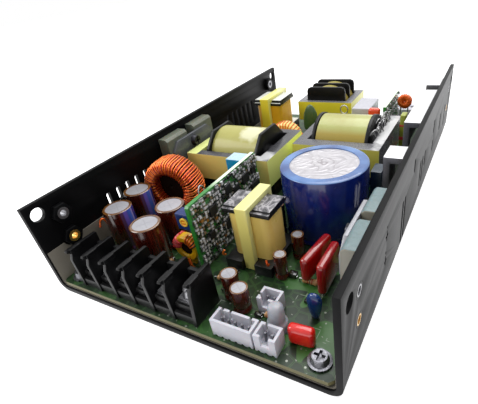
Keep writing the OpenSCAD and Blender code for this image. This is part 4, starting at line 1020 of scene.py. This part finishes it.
def film_capacitors():
    made = bmesh.new()
    for (bottom, drop_by, turn, share), (lo, hi) in zip(FILMS, solids("film_capacitors")):
        size = hi - lo
        long, thick = max(size.x, size.y) / MM * share, min(size.x, size.y) / MM
        dipped(made, ((lo.x + hi.x) / 2, (lo.y + hi.y) / 2), (thick, long, bottom, hi.z / MM - drop_by),
               math.radians(turn), legs=long * 0.31, index=2 if turn == 90 else 0)
    shaped("film_capacitor_bodies", made, [red_coat, tinned, orange_coat], "film_capacitors")
    made = bmesh.new()
    spot, (_, hi) = centre_of("small_film_capacitor"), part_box("small_film_capacitor")
    dipped(made, (spot.x - 0.4 * MM, spot.y - 1.7 * MM), (3.5, 8.5, 4.9, hi.z / MM - 0.4), math.radians(94),
           legs=2.5)
    shaped("small_film_body", made, [bright_red_coat, tinned], "small_film_capacitor")


def drop(name, node, finish, legs, shape, lower=0.0):
    """A dipped drop: round above, drawn in below; shape holds (height share, width share)."""
    lo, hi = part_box(node)
    mid, half = (lo + hi) / 2, (hi - lo) / 2
    hi.z -= lower * MM
    made = bmesh.new()
    low = legs * MM
    spin(made, (0, 0), [(wide * half.x / MM, (low + (hi.z - low) * high) / MM, 0) for high, wide in shape],
         segments=32)
    bmesh.ops.scale(made, vec=(1, half.y / half.x, 1), verts=made.verts)
    bmesh.ops.translate(made, vec=(mid.x, mid.y, 0), verts=made.verts)
    for side in (-1, 1):
        tube(made,
             [(mid.x + side * 1.2 * MM, mid.y, BOARD_TOP), (mid.x + side * 0.9 * MM, mid.y, low + 1.2 * MM)],
             0.3, index=1)
    tidy_normals(made)
    shaped(name, made, [finish, tinned], node, smooth=60)


bright_red_coat = Finish("bright_red_dip", (0.86, 0.10, 0.07), (0.78, 0.07, 0.05), rough=0.2, size=1.5,
                         coat=0.6,
                         coat_rough=0.08)
film_capacitors()
DROP = [(0, 0.0), (0.01, 0.3), (0.08, 0.5), (0.26, 0.72), (0.46, 0.90), (0.64, 1.0), (0.78, 0.98),
        (0.88, 0.82), (0.95, 0.55), (1.0, 0.0)]
LOBE = [(0, 0.0), (0.01, 0.7), (0.06, 0.92), (0.2, 1.0), (0.45, 0.98), (0.68, 0.84), (0.85, 0.60),
        (0.95, 0.34), (1.0, 0.0)]
drop("disc_capacitor_body", "disc_capacitor", blue_coat, 4.9, DROP, lower=0.8)
drop("varistor_body", "varistor", green_coat, 13.5, LOBE)

# radius and height of the lens in mm, from its flange up to its dome
LENS = ((0, 4.8), (2.9, 4.8), (2.9, 7.5), (3.35, 7.7), (3.4, 8.2), (3.3, 8.8), (2.85, 9.1), (2.75, 9.6),
        (2.6, 14.2), (2.35, 15.1), (1.7, 15.7), (0.9, 15.88), (0, 15.9))
lens_at = centre_of("status_led")
made = bmesh.new()
spin(made, (lens_at.x, lens_at.y), [(r, z, 0) for r, z in LENS])
tidy_normals(made)
shaped("status_lens", made, [lens], "status_led", smooth=50)


# ------------------------------------------------------------------ edges on moulded and cut parts

def choke_coils():
    """Two banks of turns on the line choke, fuller than their plain windings."""
    lo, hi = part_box("choke_winding")
    mid, reach = (lo + hi) / 2, (hi.y - lo.y) / 2 / MM
    hub, valley, crest = 3.0, 12.9, 13.2                # radii in mm
    row_pitch, gap = 0.8, 1.0
    made = bmesh.new()
    for low, high in ((-reach, -gap), (gap, reach)):
        part = bmesh.new()
        rows = int((high - low) / row_pitch)
        profile = [(hub, low, 0)]
        for k in range(rows):
            at = low + (k + 0.5) * (high - low) / rows
            profile += [(valley, at - 0.38, 0), (crest, at - 0.14, 0), (crest, at + 0.14, 0),
                        (valley, at + 0.38, 0)]
        spin(part, (0, 0), profile + [(hub, high, 0)], segments=72)
        for vert in part.verts:
            if math.hypot(vert.co.x, vert.co.y) > 6 * MM:
                vert.co.y = max(vert.co.y, -(mid.z - lo.z))
        settle(made, part, mid, Matrix.Rotation(math.pi / 2, 3, "X"))
    shaped("choke_coils", made, [boost_tape], "choke_winding", smooth=50)


choke_coils()
aux_plate = Finish("embossed_plate", (0.06, 0.06, 0.065), (0.04, 0.04, 0.045), rough=0.36, size=0.5, bump=0.3)


def emboss(made):
    """Raised marks on the top faces, which are painted grey over the black as painted light, with paler marks
    as painted highlights and darker marks.
    """
    tree = made.tree
    spot = add(tree, "ShaderNodeMapping", Vector=made.coords, Scale=(420.0, 260.0, 0.0))
    marks = add(tree, "ShaderNodeTexNoise", Vector=spot, Scale=1.0, Detail=1.0)
    up = made.times(made.facing()["Up"], sums(tree, "GREATER_THAN", made.axis("Z"), 25 * MM))
    # painted light: the top faces are painted grey
    made.paint(up, (0.40, 0.39, 0.41), rough=0.32)
    # painted highlights: paler marks, then darker marks
    made.paint(up, (0.62, 0.61, 0.62), share=made.between(marks, 0.52, 0.60, 0.01))
    made.paint(up, (0.20, 0.20, 0.21), share=made.between(marks, 0.30, 0.40, 0.02))
    made.raise_by(made.between(marks, 0.5, 1.0, 0.03))


emboss(aux_plate)
for part, looks, width in (
        ("chassis", [black_sheet], 0.25), ("terminal_block", [black_plastic, edge_glint_paint], 0.2),
        ("wide_header", [nylon], 0.12), ("front_header", [nylon], 0.12), ("rear_header", [nylon], 0.12),
        ("aux_core", [pale_tape], 0.3), ("main_core", [main_core_finish], 0.3),
        ("boost_core", [boost_core_finish], 0.3), ("choke_core", [choke_core_finish], 0.3),
        ("rear_core", [bright_tape], 0.3), ("aux_bobbin", [aux_plate], 0.25),
        ("main_bobbin", [black_plastic], 0.25), ("boost_bobbin", [black_plastic], 0.25),
        ("choke_bobbin", [black_plastic], 0.25), ("rear_bobbin", [bobbin_glare_top], 0.25)):
    edged(part, looks, width)
edged("left_device_caps", [silicone], 0.8, segments=3)
edged("right_device_caps", [pale_silicone], 0.8, segments=3)
for part, looks, width in (("left_clamp", [dark_plate], 0.2), ("right_clamp", [bright_plate], 0.2),
                           ("wall_brackets", [bracket_plate], 0.3)):
    edged(part, looks, width)
edged("box_capacitor", [cyan_case], 0.4, segments=3)
for part, looks, width in (("trimmer_body", [trimmer_blue], 0.3), ("relay", [relay_case], 0.5),
                           ("bridge_rectifier", [slate_case], 0.3), ("board_screws", [screw_steel], 0.15),
                           ("terminal_screws", [zinc], 0.12), ("clinch_nuts", [black_sheet], 0.15)):
    edged(part, looks, width)

# fitted after the CAD was closed: shares of the CAD size, and a shift
BOOST_WIDTH, RELAY_WIDTH, RECTIFIER_HEIGHT, RECTIFIER_SHIFT = 0.955, 0.8, 0.85, -0.6 * MM


def narrowed(node, share, x):
    """Draws a dressed piece in towards a place along x."""
    bpy.data.objects[node + "_dressed"].data.transform(
        Matrix.Translation((x, 0, 0)) @ Matrix.Diagonal((share, 1, 1, 1)) @ Matrix.Translation((-x, 0, 0)))


narrowed("boost_core", BOOST_WIDTH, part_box("boost_core")[0].x)
narrowed("boost_bobbin", BOOST_WIDTH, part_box("boost_core")[0].x)
narrowed("relay", RELAY_WIDTH, centre_of("relay").x)
bpy.data.objects["bridge_rectifier_dressed"].data.transform(
    Matrix.Translation((RECTIFIER_SHIFT, 0, BOARD_TOP * (1 - RECTIFIER_HEIGHT)))
    @ Matrix.Diagonal((1, 1, RECTIFIER_HEIGHT, 1)))


# ------------------------------------------------------------------ small extra parts

def spot_at(x, from_end, z):
    """A point given in mm: across, from the output end, up."""
    return Vector((x * MM, END + from_end * MM, z * MM))


def nut_bores():
    """Plated bores that show inside the painted clinch nuts."""
    made = bmesh.new()
    for lo, hi in solids("clinch_nuts"):
        mid, half = (lo + hi) / 2, (hi.x - lo.x) / 2 / MM
        part = bmesh.new()
        low, high = (-half, half + 0.12) if mid.x < 0 else (-half - 0.12, half)
        spin(part, (0, 0),
             [(r, z, 0) for r, z in ((1.3, low), (2.4, low), (2.4, low + 0.05), (1.64, low + 0.3),
                                                   (1.64, high - 0.3), (2.4, high - 0.05), (2.4, high),
                                                   (1.3, high),
                                                   (1.3, low))], segments=28)
        bmesh.ops.remove_doubles(part, verts=part.verts, dist=0.001 * MM)
        for face in part.faces:
            face.material_index = 1 if mid.z > 25 * MM else 0
        settle(made, part, mid, Matrix.Rotation(math.pi / 2, 3, "Y"))
    shaped("nut_bores", made, [gold_zinc, zinc], slot="zinc_steel")


def resistor(made, start, end, radius, colours):
    """Axial resistor between two points, with bands; its leads bend down to the board."""
    along = end - start
    length = along.length / MM
    part = bmesh.new()
    rings = [(0, 0, 0), (radius * 0.8, 0.05, 0), (radius, length * 0.08, 0), (radius, length * 0.2, 0),
             (radius * 0.86, length * 0.26, 0)]
    for k, at in enumerate((0.34, 0.48, 0.62)):
        rings += [(radius * 0.86, length * at, 0), (radius * 0.88, length * at, 1 + k % colours),
                  (radius * 0.88, length * (at + 0.07), 1 + k % colours),
                  (radius * 0.86, length * (at + 0.07), 0)]
    rings += [(radius * 0.86, length * 0.76, 0), (radius, length * 0.82, 0), (radius, length * 0.92, 0),
              (radius * 0.8, length - 0.05, 0), (0, length, 0)]
    spin(part, (0, 0), rings, segments=16)
    settle(made, part, start, along.to_track_quat("Z", "Y").to_matrix())
    way = along.normalized()
    for tip, side in ((start, -1), (end, 1)):
        out = tip + way * side * 1.4 * MM
        tube(made, curve_through([tip, out, Vector((out.x, out.y, BOARD_TOP))], 4), 0.3, index=3)


beige_body = Finish("beige_resistor", (0.72, 0.56, 0.38), (0.64, 0.46, 0.28), rough=0.35, size=1.0)
band_red = Finish("resistor_band_red", (0.62, 0.18, 0.10), (0.55, 0.14, 0.08), rough=0.35)
band_brown = Finish("resistor_band_brown", (0.30, 0.16, 0.08), (0.24, 0.12, 0.06), rough=0.35)
glass = Finish("dark_glass", (0.14, 0.12, 0.11), (0.09, 0.08, 0.08), rough=0.15, coat=0.6)


# start, end and radius of each resistor in mm: across, from the output end, up
RESISTORS = (
    ((34.6, 33.9, 6.3), (40.4, 33.7, 6.3), 1.25), ((29.6, 14.6, 6.2), (32.6, 14.4, 6.2), 1.1),
    ((22.5, 52.0, 6.2), (22.3, 58.0, 6.2), 1.1), ((-8.0, 20.0, 6.1), (-2.6, 21.0, 6.1), 1.1),
    ((4.0, 24.0, 6.1), (9.6, 24.4, 6.1), 1.1), ((-20.0, 20.2, 6.1), (-20.4, 26.0, 6.1), 1.1),
    ((0.6, 88.0, 6.1), (0.4, 94.0, 6.1), 1.1), ((-36, 131.5, 6.3), (-28, 131.7, 6.3), 1.4),
    ((-33, 138.0, 6.3), (-25, 138.4, 6.3), 1.4), ((44.6, 148, 6.3), (44.8, 156, 6.3), 1.5))
# middle of each chip across and from the output end, then its width, depth and height, in mm
CHIPS = (
    (30.0, 35.4, 3.0, 2.4, 2.0), (27.2, 14.0, 2.6, 1.6, 1.5), (21.4, 51.6, 3.4, 2.6, 2.4),
    (10.5, 20.0, 3.4, 2.2, 1.6), (36.0, 44.0, 3.6, 2.4, 2.0), (-2.0, 16.0, 4.2, 2.4, 1.5),
    (-33.4, 20.4, 3.6, 2.2, 1.4), (8.0, 30.0, 2.8, 1.6, 1.3), (40.4, 25.6, 3.2, 1.8, 1.2),
    (-52.0, 120.0, 6.5, 9.0, 5.0), (-49.0, 136.0, 6.0, 6.0, 8.0), (6.0, 176.0, 4.0, 5.0, 6.0))


def board_parts():
    """Resistors and small chips that stand between the larger parts."""
    made = bmesh.new()
    for start, end, radius in RESISTORS:
        resistor(made, spot_at(*start), spot_at(*end), radius, 2)
    shaped("board_resistors", made, [beige_body, band_red, band_brown, tinned], slot="red_coat", smooth=50)
    made = bmesh.new()
    for x, e, wide, deep, high in CHIPS:
        low = spot_at(x - wide / 2, e - deep / 2, BOARD_TOP / MM)
        block(made, low, low + Vector((wide, deep, high)) * MM, 0.15, index=0)
        for side in (-1, 1):
            edge = Vector((side * (wide / 2 - 0.15) * MM, 0, 0))
            mid = spot_at(x, e, BOARD_TOP / MM) + edge
            block(made, mid + Vector((-0.4, -deep * 0.3, 0)) * MM,
                  mid + Vector((0.4, deep * 0.3, high * 0.45)) * MM, 0.05, index=1)
    tidy_normals(made)
    shaped("board_chips", made, [glass, tinned], slot="chip_black")


def card_chip():
    """Eight legged circuit near the top of the control card, with legs and a pale tab."""
    made = bmesh.new()
    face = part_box("control_board")[1].x
    lo, hi = spot_at(0, 47.6, 27.0), spot_at(0, 51.4, 31.0)
    block(made, (face, lo.y, lo.z), (face + 1.5 * MM, hi.y, hi.z), 0.15, index=0)
    for k in range(4):
        z = lo.z + (0.5 + k) * (hi.z - lo.z) / 4
        for y, way in ((lo.y, -1), (hi.y, 1)):
            tube(made, [(face + 0.8 * MM, y, z), (face + 0.7 * MM, y + way * 0.7 * MM, z),
                        (face + 0.15 * MM, y + way * 1.3 * MM, z)], 0.17, 6, 1)
    block(made, (face, lo.y + 0.3 * MM, hi.z - 0.1 * MM),
          (face + 1.2 * MM, hi.y - 0.6 * MM, hi.z + 0.7 * MM), 0.1, index=1)
    tidy_normals(made)
    shaped("card_chip", made, [chip_plastic, tinned], slot="chip_black")


# points in mm, wire radius and finish number (copper 0, tinned 1) of each wire
WIRES = (
    ([(-7.4, 37.6, 31.0), (-8.0, 38.2, 33.6), (-8.2, 39.8, 35.0), (-8.0, 41.4, 33.4), (-7.6, 40.4, 31.0)],
     0.3, 1),
    ([(22.4, 30.6, 14.2), (22.8, 30.2, 13.0), (22.8, 30.6, 11.8), (22.6, 31.6, 11.5)], 0.42, 0),
    ([(4.4, 30.6, 14.2), (3.8, 30.2, 13.0), (3.7, 30.5, 12.0), (3.8, 31.4, 11.4)], 0.42, 0),
    ([(-57.6, 24.6, 15.4), (-57.2, 25.6, 18.2), (-56.6, 26.8, 18.4), (-55.9, 27.6, 15.6), (-55.6, 27.4, 8.0)],
     0.5, 0),
    ([(-10.6, 25.6, 5.2), (-10.4, 25.2, 7.4), (-10.8, 26.0, 9.6)], 0.45, 0),
    ([(-8.6, 25.8, 5.2), (-8.9, 25.0, 7.6), (-9.8, 25.6, 10.0)], 0.45, 0))
CURLS, FIRST_CURL, CURL_PITCH = 15, 114, 1.9           # tinned curls by the right wall, from the output end


def loose_wires():
    """Winding leads, straps and wire loops between the wound parts and the board."""
    made = bmesh.new()
    for points, radius, index in WIRES:
        tube(made, curve_through([spot_at(*p) for p in points], 5), radius, 8, index)
    rng = random.Random(7)
    for k in range(CURLS):
        x, e = rng.uniform(33.5, 37.5), FIRST_CURL + CURL_PITCH * k
        points = [(x, e, 26.6), (x + rng.uniform(0.4, 1.6), e + rng.uniform(-1, 1), rng.uniform(27.5, 30.0)),
                  (x + rng.uniform(1.0, 3.0), e + rng.uniform(1, 3), rng.uniform(29, 31.5)),
                  (x + rng.uniform(2.0, 4.0), e + rng.uniform(2, 4), 26.2)]
        tube(made, curve_through([spot_at(*p) for p in points], 5), 0.36, 7, 1)
    bends = [math.radians(-60 + 30 * k) for k in range(13)]
    tube(made, [spot_at(11.2 + 2.2 * math.cos(a), 149.0, 27.6 + 2.4 * math.sin(a)) for a in bends], 0.35, 8,
         1)
    tidy_normals(made)
    shaped("loose_wires", made, [copper, tinned], slot="copper_wire", smooth=60)


dial_amber = Finish("amber_dish", (0.93, 0.62, 0.14), (0.84, 0.48, 0.10), rough=0.35, size=0.8)


def trimmer_dial():
    """The turning face of the trimmer: a yellow rim round an amber dish with a slot."""
    lo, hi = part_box("trimmer_rotor")
    mid, half = (lo + hi) / 2, (hi.y - lo.y) / 2 / MM
    rim, dish = 1.85, 1.15                             # radii in mm
    part = bmesh.new()
    spin(part, (0, 0), [(0, -half, 0), (rim - 0.05, -half, 0), (rim, half - 0.15, 0), (rim - 0.15, half, 0),
                        (dish + 0.15, half, 0), (dish, half - 0.25, 1), (0, half - 0.3, 1)], segments=40)
    block(part, (-1.0 * MM, -0.2 * MM, (half - 0.5) * MM), (1.0 * MM, 0.2 * MM, (half - 0.08) * MM), 0.05)
    made = bmesh.new()
    settle(made, part, mid, Matrix.Rotation(math.pi / 2, 3, "X"))
    shaped("trimmer_dial", made, [trimmer_yellow, dial_amber], "trimmer_rotor", body="trimmer_rotor",
           smooth=40)


def sleeved_part():
    """Upright sleeved part by the right wall, with two red bands."""
    made = bmesh.new()
    for low, high, index, out in ((13.0, 31.0, 0, 0.0), (18.0, 20.0, 1, 0.05), (25.0, 26.2, 1, 0.05)):
        block(made, spot_at(45.0 - out, 134.0 - out, low), spot_at(47.8 + out, 139.5 + out, high),
              0.3 if index else 0.6, 3, index)
    for e in (135.2, 138.4):
        tube(made, [spot_at(46.4, e, 4.8), spot_at(46.4, e, 14)], 0.35, index=2)
    tidy_normals(made)
    shaped("sleeved_part", made, [lime_case, red_wire, tinned], slot="green_coat")


nut_bores()
board_parts()
card_chip()
loose_wires()
trimmer_dial()
sleeved_part()


# ------------------------------------------------------------------ stage, lights, camera

def make_stage():
    mesh = bpy.data.meshes.new("floor")
    made = bmesh.new()
    bmesh.ops.create_grid(made, x_segments=1, y_segments=1, size=3.0)
    bmesh.ops.translate(made, vec=(0, 0, -0.0002), verts=made.verts)
    made.to_mesh(mesh)
    made.free()
    floor = bpy.data.objects.new("floor", mesh)
    scene.collection.objects.link(floor)
    mat = bpy.data.materials.new("pale_floor")
    mat.use_nodes = True
    tree = mat.node_tree
    shader = tree.nodes["Principled BSDF"]
    shader.inputs["Base Color"].default_value = (0.82, 0.82, 0.83, 1)
    shader.inputs["Roughness"].default_value = 0.8
    shader.inputs["Specular IOR Level"].default_value = 0.1
    glow = add(tree, "ShaderNodeEmission", Color=(1, 1, 1, 1), Strength=0.66)
    path = tree.nodes.new("ShaderNodeLightPath")
    seen = sums(tree, "MAXIMUM", path.outputs["Is Camera Ray"], path.outputs["Is Glossy Ray"])
    both = tree.nodes.new("ShaderNodeAddShader")
    tree.links.new(shader.outputs[0], both.inputs[0])
    part = tree.nodes.new("ShaderNodeMixShader")
    dark = add(tree, "ShaderNodeEmission", Color=(0, 0, 0, 1), Strength=0.0)
    tree.links.new(seen, part.inputs[0])
    tree.links.new(dark, part.inputs[1])
    tree.links.new(glow, part.inputs[2])
    tree.links.new(part.outputs[0], both.inputs[1])
    tree.links.new(both.outputs[0], tree.nodes["Material Output"].inputs[0])
    floor.data.materials.append(mat)


def make_world():
    world = bpy.data.worlds.new("studio")
    scene.world = world
    world.use_nodes = True
    tree = world.node_tree
    path = tree.nodes.new("ShaderNodeLightPath")
    seen = sums(tree, "MAXIMUM", path.outputs["Is Camera Ray"], path.outputs["Is Glossy Ray"])
    seen = sums(tree, "MAXIMUM", seen, path.outputs["Is Transmission Ray"])
    strength = add(tree, "ShaderNodeMapRange", Value=seen, To_Min=0.58, To_Max=1.0)
    tree.nodes["Background"].inputs[0].default_value = (1, 1, 1, 1)
    tree.links.new(strength, tree.nodes["Background"].inputs[1])


def soft_light(name, place, aim, size, power):
    data = bpy.data.lights.new(name, "AREA")
    data.shape = "RECTANGLE"
    data.size, data.size_y = size
    data.energy = power
    lamp = bpy.data.objects.new(name, data)
    scene.collection.objects.link(lamp)
    lamp.location = place
    lamp.rotation_euler = (Vector(aim) - Vector(place)).to_track_quat("-Z", "Y").to_euler()


make_stage()
make_world()
soft_light("overhead_softbox", (0.05, 0.30, 0.75), (0, 0, 0.02), (0.7, 0.7), 6.5)
soft_light("left_softbox", (-0.6, -0.35, 0.6), (0, 0, 0.02), (0.4, 0.4), 3.5)

camera = bpy.data.objects.new("camera", bpy.data.cameras.new("camera"))
scene.collection.objects.link(camera)
scene.camera = camera
camera.location = (0.08099, -0.15376, 0.09924)
camera.rotation_euler = tuple(math.radians(a) for a in (55.897, 7.404, 28.124))
camera.data.sensor_width = 36
camera.data.lens = 28.17
camera.data.shift_x = -0.0618
camera.data.shift_y = 0.0402
camera.data.clip_start = 0.005
